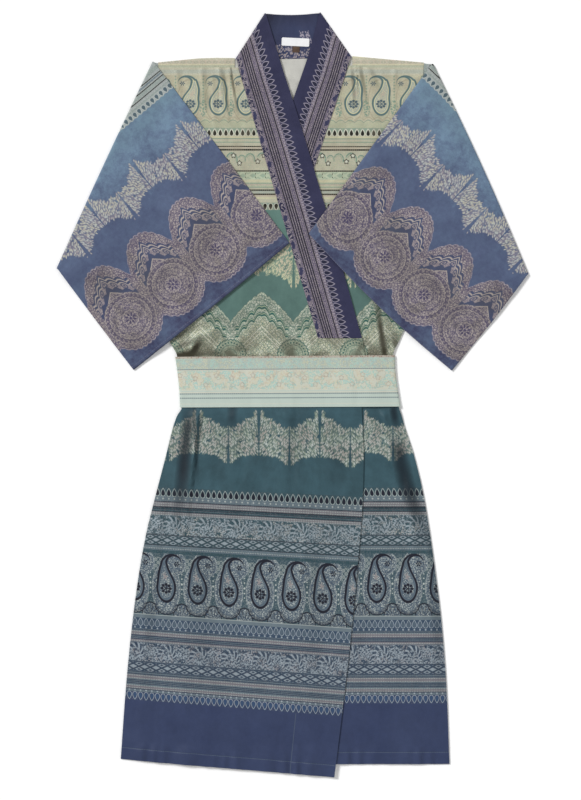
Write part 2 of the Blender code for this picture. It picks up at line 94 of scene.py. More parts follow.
# Below the collar's end: the overlap panel's seam and free edge, and the fall of the over front's rows
OVERLAP = table(
    "y seam free tilt",
    (96, 42.5, 117.3, 0), (66, 42.5, 121.6, 0), (-22, 42.4, 116.6, 0), (-57, 39.6, 118.5, 0.012),
    (-98, 36.2, 120, 0.030), (-168, 30.8, 118, 0.049), (-240, 25.3, 112.5, 0.057),
    (-305, 20.4, 106.6, 0.063), (-388, 14.2, 98, 0.070), (-498, 6.1, 85.2, 0.078),
    (-620, -4.9, 70.2, 0.084),
)
HEM = -620
SKIRT_TOP = -53
UNDER_HEM_DROP = 8.5
UNDER_SEAM_X = (-60.7, 7)
UNDER_FREE_X = (-136, -70)

# Shoulders, neck and collar band
SHOULDER_LINE = (
    (-229.5, 563.8), (-161.7, 570.6), (-130, 571.6), (-97.8, 571.2), (99.6, 574.6), (222.7, 563.6)
)
SHOULDER_WRAP = 15
NECK_CLEARANCE = 1.5
NECK_DROP = 1.8
COLLAR_END = 96
COLLAR_END_GAP = 0.6
OVER_BAND_END_X = 42.5
UNDER_BAND_END_X = -60.7
BAND_FOLD_RADIUS = 1.2
BAND_FOLD_Z = (3.4, 1)
BAND_WIDTH = 71
OVER_BAND = table(
    "outer_y inner_x inner_y z",
    (96, 117, 96, 5.2), (212, 84.8, 212, 5.2), (311.4, 57.1, 311.4, 5.2), (403.8, 29.6, 403.8, 5.2),
    (466.7, 6.8, 478.6, 5.2), (526.2, -17, 551.6, 4.8),
)
UNDER_BAND = table(
    "outer_y inner_x inner_y z",
    (523.4, 25.2, 573.8, 3.4), (460.9, 0, 500.8, 2.6), (372.5, -30.5, 402, 2.6), (235.5, -83, 248, 2.6),
    (96, -136, 96, 2.6),
)
RIGHT_NECK_FOLD = ((-97.8, 571.2), (-47.9, 649))
LEFT_NECK_FOLD = ((99.6, 574.6), (46.8, 650.1))
NECK_TOP_SAG = 2.5
NECK_MIDDLE = 630  # The back of the neck, along the collar's print

# Sleeves: tubes that run from the armhole to the fold and, turned over there, from the fold to the cuff
SLEEVES = table(
    "name side armhole_y fold_top fold_bottom cuff_top cuff_bottom cuff_bow fold_bow edge_bow print_at",
    (
        "right_sleeve", -1, (563.6, 223.6), (-238.8, 566.6), (-402.4, 214.2), (-5.4, 257), (-271.2, 41.7),
        1.5, 1.5, 0.6, (0, 0),
    ),
    (
        "left_sleeve", 1, (563.6, 215.6), (238.4, 562.9), (401, 204.5), (26.5, 272.7), (270.1, 40.5),
        7, 3.8, 2.2, (-15, 5),
    ),
)
TUBE_RADIUS = LAYER / 2
TUBE_INSET = TUBE_RADIUS + WALL / 2
FOLD_RADIUS = LAYER
FOLD_Z = BACK_LEVEL + TUBE_RADIUS + FOLD_RADIUS
FOLD_INSET = FOLD_RADIUS + TUBE_RADIUS + WALL / 2
FOLD_ANGLES = (0, 22, 45, 68, 90, 112, 135, 158, 180)
EDGE_TURN = (-math.pi / 4, 0, math.pi / 4)
FLOOR_LEVEL = TUBE_RADIUS + WALL / 2
# The turned part stays up this far past the body's edge, or the collar band's, and comes down over DROP
LEAD = 14
BAND_LEAD = 21
DROP = 45
LAYER_TOP = UNDER_LEVEL + WALL / 2 + GAP
BAND_TOP = OVER_LEVEL + BAND_RISE + BAND_WALL / 2 + GAP

# Belt
BELT_TOP = (64, 66.8)
BELT_BOTTOM = (-22, -20.5)
BELT_BACK_LEVEL = BELT_WALL / 2
BELT_LIFT = BELT_WALL + GAP
BELT_SIDE_LEVEL = UNDER_LEVEL + BELT_LIFT + WALL / 2 + GAP + BELT_WALL / 2
BELT_SLOPE = 42
BELT_ROUND = 8  # How far its print runs round a side of the body
LIFT_MARGIN = 3
LIFT_SLOPE = 26

# Folds, as ridges from (x0, y0) to (x1, y1). Lean moves the crest to the right of the way
OVER_FOLDS = table(
    "x0 y0 x1 y1 half_width height lean",
    (-190, 72, -128, 124, 13, 8, 0.5), (-172, -28, -198, -262, 18, 9, -0.6),
    (-107, -30, -112, -220, 24, 3.5, -0.4), (-22, -30, -30, -250, 28, 3, -0.4),
    (22, -30, 16, -190, 18, 2, 0.4), (-230, -170, -262, -420, 22, 4, -0.4),
    (-196, 552, -188, 490, 8, 3.2, 0.4), (-152, 556, -146, 500, 9, 2.6, 0.4),
    (-124, 556, -116, 470, 6, 4.2, 0.4), (-110, 556, -98, 478, 5, 4, -0.4),
    (-132, 556, -134, 440, 7, 2.6, -0.4),
)
UNDER_FOLDS = table(
    "x0 y0 x1 y1 half_width height lean",
    (152, 68, 148, 146, 11, 7, 0.6), (160, -28, 192, -190, 14, 8, 0.6), (204, -150, 226, -400, 16, 5, 0.5),
    (104, 558, 108, 480, 5, 4.5, -0.5), (113, 558, 122, 490, 5, 3.8, 0.5),
    (128, 556, 142, 500, 8, 2.4, 0.4), (170, 552, 168, 490, 8, 2.4, -0.4),
)
FOLD_WINDOW = 14
FOLD_LEAD_IN = 0.1
FOLD_RISE = 0.15
FOLD_FADE = 0.7
BELT_CLEARANCE = 1

# Painted shade in creases, from (s0, t0) to (s1, t1) of the print: the colour is mixed there towards a dark
# shade. Chest and skirt have a shade colour each
CHEST_CREASE_SHADE = "3A382C"
SKIRT_CREASE_SHADE = "121B24"
SKIRT_SHADE_TOP = 100
CREASE_SHADES = table(
    "s0 t0 s1 t1 half_width depth",
    (-168, -16, -162, -150, 4, 0.6), (-175, -20, -199, -240, 14, 0.9), (-101, -14, -106, -64, 10, 0.55),
    (-112, -24, -118, -160, 26, 0.16), (-60, -24, -66, -190, 16, 0.12), (4, -24, -2, -170, 20, 0.26),
    (-240, -300, -248, -520, 14, 0.18), (-150, -250, -160, -540, 30, 0.16), (40, -200, 30, -560, 24, 0.14),
    (250, -200, 268, -560, 12, 0.3), (70, -24, 74, -250, 22, 0.14), (199, -14, 209, -66, 8, 0.8),
    (206, -70, 246, -260, 16, 0.85), (-177, 58, -152, 104, 7, 1.15), (-204, 64, -150, 72, 9, 1.1),
    (-204, 76, -128, 108, 6, 0.55), (-206, 92, -142, 128, 6, 0.45), (-190, 62, -112, 74, 5, 0.40),
    (163, 52, 145, 180, 7, 1), (187, 62, 172, 118, 8, 0.75), (-120, 556, -106, 452, 4, 0.45),
    (-107, 552, -92, 470, 3, 0.50), (-134, 556, -132, 440, 4, 0.25), (-152, 552, -144, 470, 5, 0.20),
    (106, 558, 112, 470, 4, 0.50), (120, 558, 134, 480, 4, 0.40), (138, 556, 158, 500, 5, 0.25),
)

# Label and size tab, on the inside of the back neck
LABEL_AT = (4.2, 599.6)
LABEL_SIZE = (47, 13.8)
TAB_AT = (5.1, 587)
TAB_SIZE = (12.2, 10)
LABEL_CORNER = 1.6
TAB_CORNER = 0.4
PATCH_CELLS = (24, 12)
PATCH_CURL = 0.25
PATCH_TURN = math.radians(-2.8)

# Heights between which each part of the body's print runs, and how mottled it is
PRINT_BANDS = table(
    "name top bottom mottle",
    ("Shoulder strip print", 660, 543.2, 0.2),
    ("Small paisley print", 543.2, 453.1, 0.2),
    ("Chest border print", 453.1, 313.7, 0.24),
    ("Chest field print", 313.7, 20, 0.24),
    ("Skirt field print", 20, -157.3, 0.26),
    ("Middle border print", -157.3, -267.8, 0.28),
    ("Large paisley print", -267.8, -378.3, 0.18),
    ("Lower border print", -378.3, -517.7, 0.26),
    ("Plain hem cloth", -517.7, -700, 0.26),
)

# How far the under front's print is shifted along the cloth against the over front's
UNDER_PRINT = table(
    "y along",
    (600, 5.2), (20, 5.2), (-30, 31), (-140, 31), (-270, 14.4), (-640, 14.4),
)

# Lights and camera, in metres, the lens in millimetres
SUNS = table(
    "name place angle power",
    ("Window light", (-2.2, 1.7, 2.5), 16, 2.5), ("Fill light", (2, -0.6, 3), 60, 0.55),
)
LENS, SENSOR = 85, 36
VIEW_CENTRE = (-0.00425, -0.00935)
VIEW_LEVEL, VIEW_HEIGHT = 0.005, 1.36
VIEW_END = 50
FLOOR_SIZE = 12
FLOOR_ROUGHNESS = 0.9
SKY_STRENGTH = 0.4

# The woven satin, its uneven threads, and a period so long that a motif comes once
WEAVE = 0.45
THREADS = 1.6
ONCE = 900

# Spacing of the mesh, in metres how near its points are when they join, and which edges stay sharp
CELL = 4.5
WELD_GAP = 0.00001
SHARP_ANGLE = math.radians(40)

# Rough sizes of the pieces, from which the number of their mesh's cells follows
OVER_WIDTH = 330
UNDER_WIDTH = 240
PANEL_WIDTH = 76
SLEEVE_START = 170
SLEEVE_LENGTH = 400
SLEEVE_DEPTH = 380
BELT_WIDTH = 370
BELT_HEIGHT = 86
BACK_TOP_ROW = 540
FRONT_TOP_ROW = PRINT_BANDS[0].bottom
BACK_TOP_ROWS = 6
SHOULDER_ROWS = 3
BACK_NECK_ROWS = 24


def mix(a, b, t):
    """Between a and b, numbers or points."""
    if isinstance(a, tuple):
        return tuple(mix(p, q, t) for p, q in zip(a, b))
    return a + (b - a) * t


def ease(t):
    """A smooth step from 0 to 1."""
    t = min(1, max(0, t))
    return t * t * (3 - 2 * t)


def spread(start, end, count):
    """count + 1 evenly spaced values, from start to end."""
    return [mix(start, end, i / count) for i in range(count + 1)]


def straight(points, x):
    """The height at x of a line with corners, which is given from left to right."""
    for (x0, y0), (x1, y1) in zip(points, points[1:]):
        if x <= x1:
            break
    return mix(y0, y1, (x - x0) / (x1 - x0))


def smooth(rows, column):
    """A function of y that runs smoothly through one column of a table, without overshooting its values."""
    ys, xs = zip(*sorted((row.y, getattr(row, column)) for row in rows))
    steps = [(xs[i + 1] - xs[i]) / (ys[i + 1] - ys[i]) for i in range(len(ys) - 1)]
    slopes = [steps[0]]
    for before, after in zip(steps, steps[1:]):
        slopes.append(0 if before * after <= 0 else 2 * before * after / (before + after))
    slopes.append(steps[-1])

    def at(y):
        i = max(k for k in range(len(ys) - 1) if k == 0 or y >= ys[k])
        span = ys[i + 1] - ys[i]
        t = (y - ys[i]) / span
        return (
            xs[i] * (1 + 2 * t) * (1 - t) ** 2
            + slopes[i] * span * t * (1 - t) ** 2
            + xs[i + 1] * t * t * (3 - 2 * t)
            + slopes[i + 1] * span * t * t * (t - 1)
        )

    return at


HALF_TURN = spread(0, math.pi, 6)
left_side, right_side = smooth(SIDES, "left"), smooth(SIDES, "right")
seam_edge, free_edge, row_tilt = (smooth(OVERLAP, name) for name in ("seam", "free", "tilt"))
under_shift = smooth(UNDER_PRINT, "along")


def shoulder(x):
    return straight(SHOULDER_LINE, x)


def lift(y):
    """How far the belt's back, which lies underneath, lifts the body."""
    above = y - (max(BELT_TOP) + LIFT_MARGIN)
    below = min(BELT_BOTTOM) - LIFT_MARGIN - y
    return BELT_LIFT * ease(1 - max(above, below, 0) / LIFT_SLOPE)


def over_rise(x, y, lead=0):
    """How far the over front stands above the level of its side seam."""
    inside = ease((x - left_side(y) + lead) / SIDE_SLOPE)
    below = ease((shoulder(x) - SHOULDER_WRAP - y + lead) / SHOULDER_SLOPE)
    return OVER_RISE * min(inside, below)


def settle(x, y):
    """The soft unevenness that everything on top of the back shares."""
    level = min(max(y, HEM), SIDES[0].y)
    side = ease(min(x - left_side(level), right_side(level) - x) / CALM_EDGE)
    top = ease((shoulder(x) - SHOULDER_WRAP - y) / CALM_EDGE)
    wave = math.sin(x / 43 + 1.3 * math.sin(y / 83)) * math.sin(y / 57 + 0.9 * math.sin(x / 71) + 1)
    ripple = math.sin(x / 15 + 2.1 * math.sin(y / 47)) * math.sin(y / 31 + 1.7 * math.sin(x / 27))
    pucker = (1 + math.sin(x / 5.2 + 2 * math.sin(x / 21))) * ease((HEM + 28 - y) / 14)
    pucker = pucker * (0.6 + 0.4 * math.sin(x / 37 + 0.6))
    return (UNEVEN * (0.5 + 0.5 * wave) + 0.6 * (1 + ripple) + 1.1 * pucker) * side * top


def ridge(fold, x, y):
    """The height of one fold at a point. It rises at its start and fades towards its far end."""
    along_x, along_y = fold.x1 - fold.x0, fold.y1 - fold.y0
    length = math.hypot(along_x, along_y)
    t = ((x - fold.x0) * along_x + (y - fold.y0) * along_y) / length**2
    across = ((x - fold.x0) * along_y - (y - fold.y0) * along_x) / length / fold.half_width
    if abs(across) >= 1 or not -FOLD_LEAD_IN < t < 1:
        return 0
    profile = math.cos(math.pi / 2 * (across - fold.lean) / (1 - fold.lean * across)) ** 2
    return fold.height * profile * ease((t + FOLD_LEAD_IN) / FOLD_RISE) * (1 - max(t, 0)) ** FOLD_FADE


def folds(ridges, x, y):
    """The folds of a front, pressed flat where the belt crosses them."""
    clear = max(y - max(BELT_TOP), min(BELT_BOTTOM) - y) - BELT_CLEARANCE
    return max(ridge(fold, x, y) for fold in ridges) * ease(clear / FOLD_WINDOW)


def over_z(x, y):
    return UNDER_LEVEL + over_rise(x, y) + lift(y) + folds(OVER_FOLDS, x, y) + settle(x, y)


def under_z(x, y):
    return UNDER_LEVEL + lift(y) + folds(UNDER_FOLDS, x, y) + settle(x, y)


def sewn_line(end_x, neck):
    """The line along which a front is sewn to the collar band, as a function of y."""
    return lambda y: mix(end_x, neck[0], (y - COLLAR_END) / (neck[1] - COLLAR_END))


over_band_outer = sewn_line(OVER_BAND_END_X, RIGHT_NECK_FOLD[0])
under_band_outer = sewn_line(UNDER_BAND_END_X, LEFT_NECK_FOLD[0])


def front_top(x):
    return shoulder(x) - SHOULDER_WRAP - SEAM


def body_rows(top, cell):
    """Heights from the hem up to top, at most a cell apart, among them each border of two print bands."""
    corners = {HEM, top, COLLAR_END} | {band.bottom for band in PRINT_BANDS if HEM < band.bottom < top}
    corners = sorted(c for c in corners if c <= top)
    heights = [HEM]
    for low, high in zip(corners, corners[1:]):
        heights += spread(low, high, math.ceil((high - low) / cell))[1:]
    return heights


def hem_fall(y):
    return UNDER_HEM_DROP * ease((SKIRT_TOP - y) / (SKIRT_TOP - HEM))


def neck_crease(x, y):
    """The small creases on the inside of the back, below the label."""
    fade = math.exp(-((x + 2) / 22) ** 2 - ((y - 538) / 26) ** 2)
    return 1.1 * fade * (1 + math.sin(y / 3.4 + x / 9))


def back_rows(cell):
    """The back, from the hem up to the neck and over each shoulder to the seam on the front."""
    first, *corners, last = (point[0] for point in SHOULDER_LINE)
    places = spread(first, last, math.ceil((last - first) / cell))
    for corner in corners:
        nearest = min(range(1, len(places) - 1), key=lambda k: abs(places[k] - corner))
        places[nearest] = corner
    across = [(x - places[0]) / (places[-1] - places[0]) for x in places]
    neck = [places.index(RIGHT_NECK_FOLD[0][0]), places.index(LEFT_NECK_FOLD[0][0])]
    rows = []
    for y in body_rows(BACK_TOP_ROW, cell):
        row = []
        for u in across:
            x = mix(left_side(y), right_side(y), u)
            lower = y - hem_fall(y) * u
            row.append((x, lower, BACK_LEVEL + lift(lower) + neck_crease(x, y), x, y))
        rows.append(row)
    for t in spread(0, 1, BACK_TOP_ROWS)[1:]:
        row = []
        for column, x in enumerate(places):
            end = shoulder(x) - (NECK_DROP if neck[0] <= column <= neck[1] else SEAM)
            y = mix(BACK_TOP_ROW, end, t)
            row.append((x, y, BACK_LEVEL + neck_crease(x, y) * (1 - t), x, y))
        rows.append(row)
    first_wrap = len(rows) - 1
    for turn in HALF_TURN[1:]:
        reach, height = TUBE_RADIUS * math.sin(turn), BACK_LEVEL + TUBE_RADIUS * (1 - math.cos(turn))
        rows.append([(x, shoulder(x) - SEAM + reach, height, x, shoulder(x)) for x in places])
    for t in spread(0, 1, SHOULDER_ROWS)[1:]:
        row = [(x, shoulder(x) - mix(SEAM, SHOULDER_WRAP, t)) for x in places]
        row[0] = (left_side(row[0][1]), row[0][1])
        row[-1] = (right_side(row[-1][1]), row[-1][1])
        rows.append([(x, y, UNDER_LEVEL, x, y) for x, y in row])
    for row in rows[first_wrap + 1:]:
        for column, clear in zip(neck, (-NECK_CLEARANCE, NECK_CLEARANCE)):
            row[column] = (places[column] + clear, *row[column][1:])

    def keep(i, j):
        return i < first_wrap or not neck[0] <= j < neck[1]

    return rows, keep


def to_shoulder(start, first_x, last_x, height, shift=lambda y: 0):
    """Rows from the row start up to the seam on the shoulder, which run from first_x to last_x."""
    rows = []
    for t in spread(0, 1, SHOULDER_ROWS)[1:]:
        row = []
        for u, first in zip(spread(0, 1, len(start) - 1), start):
            x = mix(first_x, last_x, u)
            x, y = mix(first[:2], (x, front_top(x)), t)
            row.append((x, y, height(x, y), x + shift(y), y))
        rows.append(row)
    return rows


def right_front_rows(cell):
    """The front that is worn over the other, up to the seam of its overlap panel and to the collar."""
    across = spread(0, 1, math.ceil(OVER_WIDTH / cell))
    rows = []
    for y in body_rows(FRONT_TOP_ROW, cell):
        left = left_side(y)
        right = over_band_outer(y) if y >= COLLAR_END else seam_edge(y)
        tilt = 0 if y >= COLLAR_END else row_tilt(y)
        row = []
        for u in across:
            x = mix(left, right - SEAM, u)
            lower = y - tilt * (x - left)
            row.append((x, lower, over_z(x, lower), x, y))
        rows.append(row)
    neck = over_band_outer(front_top(RIGHT_NECK_FOLD[0][0])) - SEAM
    side = left_side(front_top(SHOULDER_LINE[0][0]))
    return rows + to_shoulder(rows[-1], side, neck, over_z)


def left_front_rows(cell):
    """The front that lies under the other, from its own side seam to the seam of its hidden overlap."""
    across = spread(0, 1, math.ceil(UNDER_WIDTH / cell))
    rows = []
    for y in body_rows(FRONT_TOP_ROW, cell):
        below = (COLLAR_END - y) / (COLLAR_END - HEM)
        inner = mix(*UNDER_SEAM_X, below) if below > 0 else under_band_outer(y)
        lower = y - hem_fall(y)
        row = [mix(inner + SEAM, right_side(y), u) for u in across]
        rows.append([(x, lower, under_z(x, lower), x + under_shift(y), y) for x in row])
    neck = under_band_outer(front_top(LEFT_NECK_FOLD[0][0])) + SEAM
    side = right_side(front_top(SHOULDER_LINE[-1][0]))
    return rows + to_shoulder(rows[-1], neck, side, under_z, under_shift)


def right_overlap_rows(cell):
    """The straight panel between the over front's seam and its free edge."""
    across = spread(0, 1, math.ceil(PANEL_WIDTH / cell))
    rows = []
    for y in body_rows(COLLAR_END, cell):
        left = left_side(y)
        gap = 0 if y < COLLAR_END else COLLAR_END_GAP
        row = []
        for u in across:
            x = mix(seam_edge(y) + SEAM, free_edge(y), u)
            lower = y - row_tilt(y) * (x - left)
            row.append((x, lower - gap, over_z(x, lower), x, y))
        rows.append(row)
    return rows


def left_overlap_rows(cell):
    """The under front's overlap, hidden by the over front."""
    across = spread(0, 1, math.ceil(PANEL_WIDTH / cell / 2))
    rows = []
    for y in body_rows(COLLAR_END, cell * 2):
        gap = 0 if y < COLLAR_END else COLLAR_END_GAP
        t = (COLLAR_END - y) / (COLLAR_END - HEM)
        lower = y - hem_fall(y) - gap
        row = [mix(mix(*UNDER_FREE_X, t), mix(*UNDER_SEAM_X, t) - SEAM, u) for u in across]
        level = UNDER_LEVEL + lift(y)
        rows.append([(x, lower, level + settle(x, lower), x + under_shift(y), y) for x in row])
    return rows


def outward_of(fold, side):
    """The unit direction across a fold line that points away from the body."""
    dx, dy = fold[1][0] - fold[0][0], fold[1][1] - fold[0][1]
    length = math.hypot(dx, dy)
    across = (dy / length, -dx / length)
    return across if across[0] * side > 0 else (-across[0], -across[1])


def neck_fold_rows(fold, outward, columns):
    """Rows round a fold of the collar, from the front band down to the back neck."""
    inset = BAND_FOLD_RADIUS + BAND_WALL / 2
    axis = [tuple(p - inset * n for p, n in zip(mix(*fold, u), outward)) for u in columns]
    middle = sum(BAND_FOLD_Z) / 2
    rows = []
    for turn in HALF_TURN:
        reach, height = BAND_FOLD_RADIUS * math.sin(turn), middle + BAND_FOLD_RADIUS * math.cos(turn)
        rows.append([(x + reach * outward[0], y + reach * outward[1], height) for x, y in axis])
    return rows


def collar_rows(cell):
    """One band: down the over front, folded, flat round the back neck, folded, down the under front."""
    columns = spread(0, 1, math.ceil(BAND_WIDTH / cell))

    def band_rows(places, outer):
        ends = [((outer(b.outer_y), b.outer_y), (b.inner_x, b.inner_y), b.z) for b in places]
        return [[(*mix(first, last, u), z) for u in columns] for first, last, z in ends]

    right_fold = neck_fold_rows(RIGHT_NECK_FOLD, outward_of(RIGHT_NECK_FOLD, -1), columns)
    left_fold = neck_fold_rows(LEFT_NECK_FOLD, outward_of(LEFT_NECK_FOLD, 1), columns)
    back_neck = []
    for t in spread(0, 1, BACK_NECK_ROWS)[1:-1]:
        sag = NECK_TOP_SAG * math.sin(math.pi * t)
        pucker = 0.9 * max(0, math.sin(math.pi * t * 5 + 0.4)) * (1 - math.exp(-((t - 0.5) / 0.2) ** 4))
        row = [mix(a, b, t) for a, b in zip(right_fold[-1], left_fold[-1])]
        back_neck.append([(x, y - sag * u, z + pucker * u) for (x, y, z), u in zip(row, columns)])
    over, under = band_rows(OVER_BAND, over_band_outer), band_rows(UNDER_BAND, under_band_outer)
    coarse = over + right_fold + back_neck + left_fold[::-1] + under
    rows = [coarse[0]]
    for first, last in zip(coarse, coarse[1:]):
        length = math.dist(first[0], last[0])
        for t in spread(0, 1, max(1, round(length / cell)))[1:]:
            rows.append([mix(a, b, t) for a, b in zip(first, last)])
    along = 0
    laid = []
    for before, row in zip([rows[0]] + rows, rows):
        along += math.dist(before[len(row) // 2], row[len(row) // 2])
        across = [BAND_WIDTH * (1 - u) for u in columns]
        laid.append([(x, y, z + settle(x, y), along, v) for (x, y, z), v in zip(row, across)])
    return laid


def ring(starts, up, across):
    """A flattened tube's cross-section: along its lower layer, round an edge, back along the upper one."""
    lower = [tuple(c - TUBE_RADIUS * n for c, n in zip(p, up)) for p in starts]
    upper = [tuple(c + TUBE_RADIUS * n for c, n in zip(p, up)) for p in starts[::-1]]

    def edge(centre, sign):
        points = []
        for turn in EDGE_TURN:
            out, rise = TUBE_RADIUS * math.cos(turn) * sign, TUBE_RADIUS * math.sin(turn) * sign
            points.append(tuple(c + out * a + rise * n for c, a, n in zip(centre, across, up)))
        return points

    return lower + edge(starts[-1], 1) + upper + edge(starts[0], -1)


def side_edge(sleeve, y):
    """Where the body's side edge is, on the sleeve's side."""
    return left_side(y) if sleeve.side < 0 else right_side(y)


def sleeve_support(sleeve, x, y):
    """How high the turned part of a sleeve lies, over the body, the sleeve's own start or the floor."""
    inside = (side_edge(sleeve, y) - x) * sleeve.side
    under = LAYER_TOP * ease(1 + (inside + LEAD) / DROP)
    if sleeve.side < 0:
        under += over_rise(x, y, LEAD) if inside > -LEAD else 0
    else:
        low, high = OVER_BAND[0], OVER_BAND[-2]
        off_band = x - mix(low.inner_x, high.inner_x, (y - low.inner_y) / (high.inner_y - low.inner_y))
        under += (BAND_TOP - LAYER_TOP) * ease(1 - (off_band - BAND_LEAD) / DROP)
    underarm = sleeve.armhole_y[1]
    (x0, y0), (x1, y1) = (side_edge(sleeve, underarm), underarm), sleeve.fold_bottom
    below = mix(y0, y1, (x - x0) / (x1 - x0)) - y
    return max(under, LAYER_TOP * ease(1 - (below - LEAD / 2) / DROP))


def sleeve_rows(sleeve, cell):
    """A tube of cloth, from the armhole to the fold, round the fold, and over the front to the cuff."""
    fold = (sleeve.fold_top, sleeve.fold_bottom)
    outward = outward_of(fold, sleeve.side)
    steps = spread(0, 1, math.ceil(SLEEVE_DEPTH / cell))
    cuff_length = math.dist(sleeve.cuff_top, sleeve.cuff_bottom)
    cuff_along = tuple((b - a) / cuff_length for a, b in zip(sleeve.cuff_top, sleeve.cuff_bottom))
    cuff_inward = (-cuff_along[1] * sleeve.side, cuff_along[0] * sleeve.side)

    def flat_row(top, bottom, bow):
        """Points from top to bottom, which bow outwards in between, and the unit direction they run in."""
        length = math.dist(top, bottom)
        inset = TUBE_INSET / length
        across = tuple((b - a) / length for a, b in zip(top, bottom))
        points = []
        for v in steps:
            x, y = mix(top, bottom, mix(inset, 1 - inset, v))
            arch = math.sin(math.pi * v)
            points.append((x + bow[0] * arch, y + bow[1] * arch))
        return points, (*across, 0)

    def moved(point, distance):
        """A point moved away from the body, across the fold."""
        return tuple(p + distance * n for p, n in zip(point, outward))

    def on_print(x, y, turned):
        """Where a point of the sleeve lies on its print, with the part before the fold opened out."""
        if not turned:
            off = (x - fold[0][0]) * outward[0] + (y - fold[0][1]) * outward[1]
            x, y = x - 2 * off * outward[0], y - 2 * off * outward[1]
        dx, dy = x - sleeve.cuff_top[0], y - sleeve.cuff_top[1]
        along = dx * cuff_along[0] + dy * cuff_along[1]
        bow = sleeve.cuff_bow * math.sin(math.pi * min(1, max(0, along / cuff_length)))
        across = dx * cuff_inward[0] + dy * cuff_inward[1] + bow
        return along + sleeve.print_at[0], across + sleeve.print_at[1]

    def printed_ring(row, turned, height, up, across):
        """The tube's cross-section along a row, with the place of each point on the print."""
        points = ring([(x, y, height(x, y)) for x, y in row], up, across)
        marks = [on_print(x, y, turned) for x, y in row]
        marks = marks + [marks[-1]] * len(EDGE_TURN) + marks[::-1] + [marks[0]] * len(EDGE_TURN)
        return [(*point, *mark) for point, mark in zip(points, marks)]

    bow = tuple(sleeve.fold_bow * n for n in outward)
    fold_line, fold_across = flat_row(*(moved(p, -FOLD_INSET) for p in fold), bow)
    top, bottom = sleeve.armhole_y
    heights = [mix(top - TUBE_INSET, bottom + TUBE_INSET, v) for v in steps]
    armhole = [(side_edge(sleeve, y) + ARMHOLE_SEAM * sleeve.side, y) for y in heights]
    armhole_across = (0, -1, 0)
    rows = []
    for t in spread(0, 1, math.ceil(SLEEVE_START / cell))[:-1]:
        row = [mix(a, b, t) for a, b in zip(armhole, fold_line)]
        across = mix(armhole_across, fold_across, t)
        rows.append(printed_ring(row, False, lambda x, y: BACK_LEVEL + TUBE_RADIUS, (0, 0, 1), across))
    for angle in FOLD_ANGLES:
        turn = math.radians(angle)
        reach, height = FOLD_RADIUS * math.sin(turn), FOLD_Z - FOLD_RADIUS * math.cos(turn)
        up = (-outward[0] * math.sin(turn), -outward[1] * math.sin(turn), math.cos(turn))
        row = [moved(p, reach) for p in fold_line]
        rows.append(printed_ring(row, angle > 90, lambda x, y, z=height: z, up, fold_across))
    cuff_outward = (sleeve.cuff_bottom[1] - sleeve.cuff_top[1], sleeve.cuff_top[0] - sleeve.cuff_bottom[0])
    scale = sleeve.cuff_bow / math.hypot(*cuff_outward) * sleeve.side
    cuff_bow = tuple(c * scale for c in cuff_outward)
    cuff, cuff_across = flat_row(sleeve.cuff_top, sleeve.cuff_bottom, cuff_bow)
    edge_outward = outward_of((sleeve.fold_bottom, sleeve.cuff_bottom), sleeve.side)
    for t in spread(0, 1, math.ceil(SLEEVE_LENGTH / cell))[1:]:
        bulge = sleeve.edge_bow * math.sin(math.pi * t)
        row = [mix(a, b, t) for a, b in zip(fold_line, cuff)]
        bulges = [bulge * v for v in steps]
        row = [tuple(p + out * n for p, n in zip(point, edge_outward)) for point, out in zip(row, bulges)]

        def height(x, y, t=t):
            soft = 1 + math.sin(x / 31 + 0.8 * math.sin(y / 47)) * math.sin(y / 37 + 1.1 * math.sin(x / 53))
            return FLOOR_LEVEL + sleeve_support(sleeve, x, y) + settle(x, y) + 1.5 * soft * ease(t / 0.2)

        rows.append(printed_ring(row, True, height, (0, 0, -1), mix(fold_across, cuff_across, t)))
    return rows


def belt_rows(cell):
    """A wide sash round the waist, under the back and over both fronts."""
    radius = (BELT_SIDE_LEVEL - BELT_BACK_LEVEL) / 2
    middle = (BELT_SIDE_LEVEL + BELT_BACK_LEVEL) / 2
    rows = []
    count = math.ceil(BELT_WIDTH / cell)
    for v in spread(0, 1, math.ceil(BELT_HEIGHT / cell)):
        left_y, right_y = (mix(top, bottom, v) for top, bottom in zip(BELT_TOP, BELT_BOTTOM))
        left, right = left_side(left_y), right_side(right_y)
        down = BELT_HEIGHT * (1 - v)
        row = []
        for t in spread(0, 1, count):
            x, y = mix(left, right, t), mix(left_y, right_y, t)
            rise = OVER_RISE * ease(min(x - left, right - x) / BELT_SLOPE)
            row.append((x, y, BELT_SIDE_LEVEL + rise + settle(x, y), x, down))
        for turn in HALF_TURN[1:-1]:
            x = right + radius * math.sin(turn)
            row.append((x, right_y, middle + radius * math.cos(turn), right + radius * turn, down))
        for t in spread(1, 0, count // 2):
            x = mix(left, right, t)
            row.append((x, mix(left_y, right_y, t), BELT_BACK_LEVEL, 2 * right + BELT_ROUND - x, down))
        for turn in HALF_TURN[-2:0:-1]:
            x = left - radius * math.sin(turn)
            row.append((x, left_y, middle + radius * math.cos(turn), left - radius * turn, down))
        rows.append(row)
    return rows


def patch_rows(at, size, corner):
    """A small flat piece on the inside of the back neck, with rounded corners."""
    height = BAND_WALL + SEAM + LABEL_WALL / 2
    rows = []
    for v in spread(-0.5, 0.5, PATCH_CELLS[1]):
        y = v * size[1]
        past = max(0, abs(y) - (size[1] / 2 - corner))
        width = size[0] / 2 - corner + math.sqrt(max(0, corner**2 - past**2))
        row = []
        for u in spread(-0.5, 0.5, PATCH_CELLS[0]):
            x = u * 2 * width
            turned = complex(x, y) * cmath.rect(1, PATCH_TURN)
            curl = PATCH_CURL * math.sin(u * 5)
            row.append((at[0] + turned.real, at[1] + turned.imag, height + curl, x, y))
        rows.append(row)
    return rows


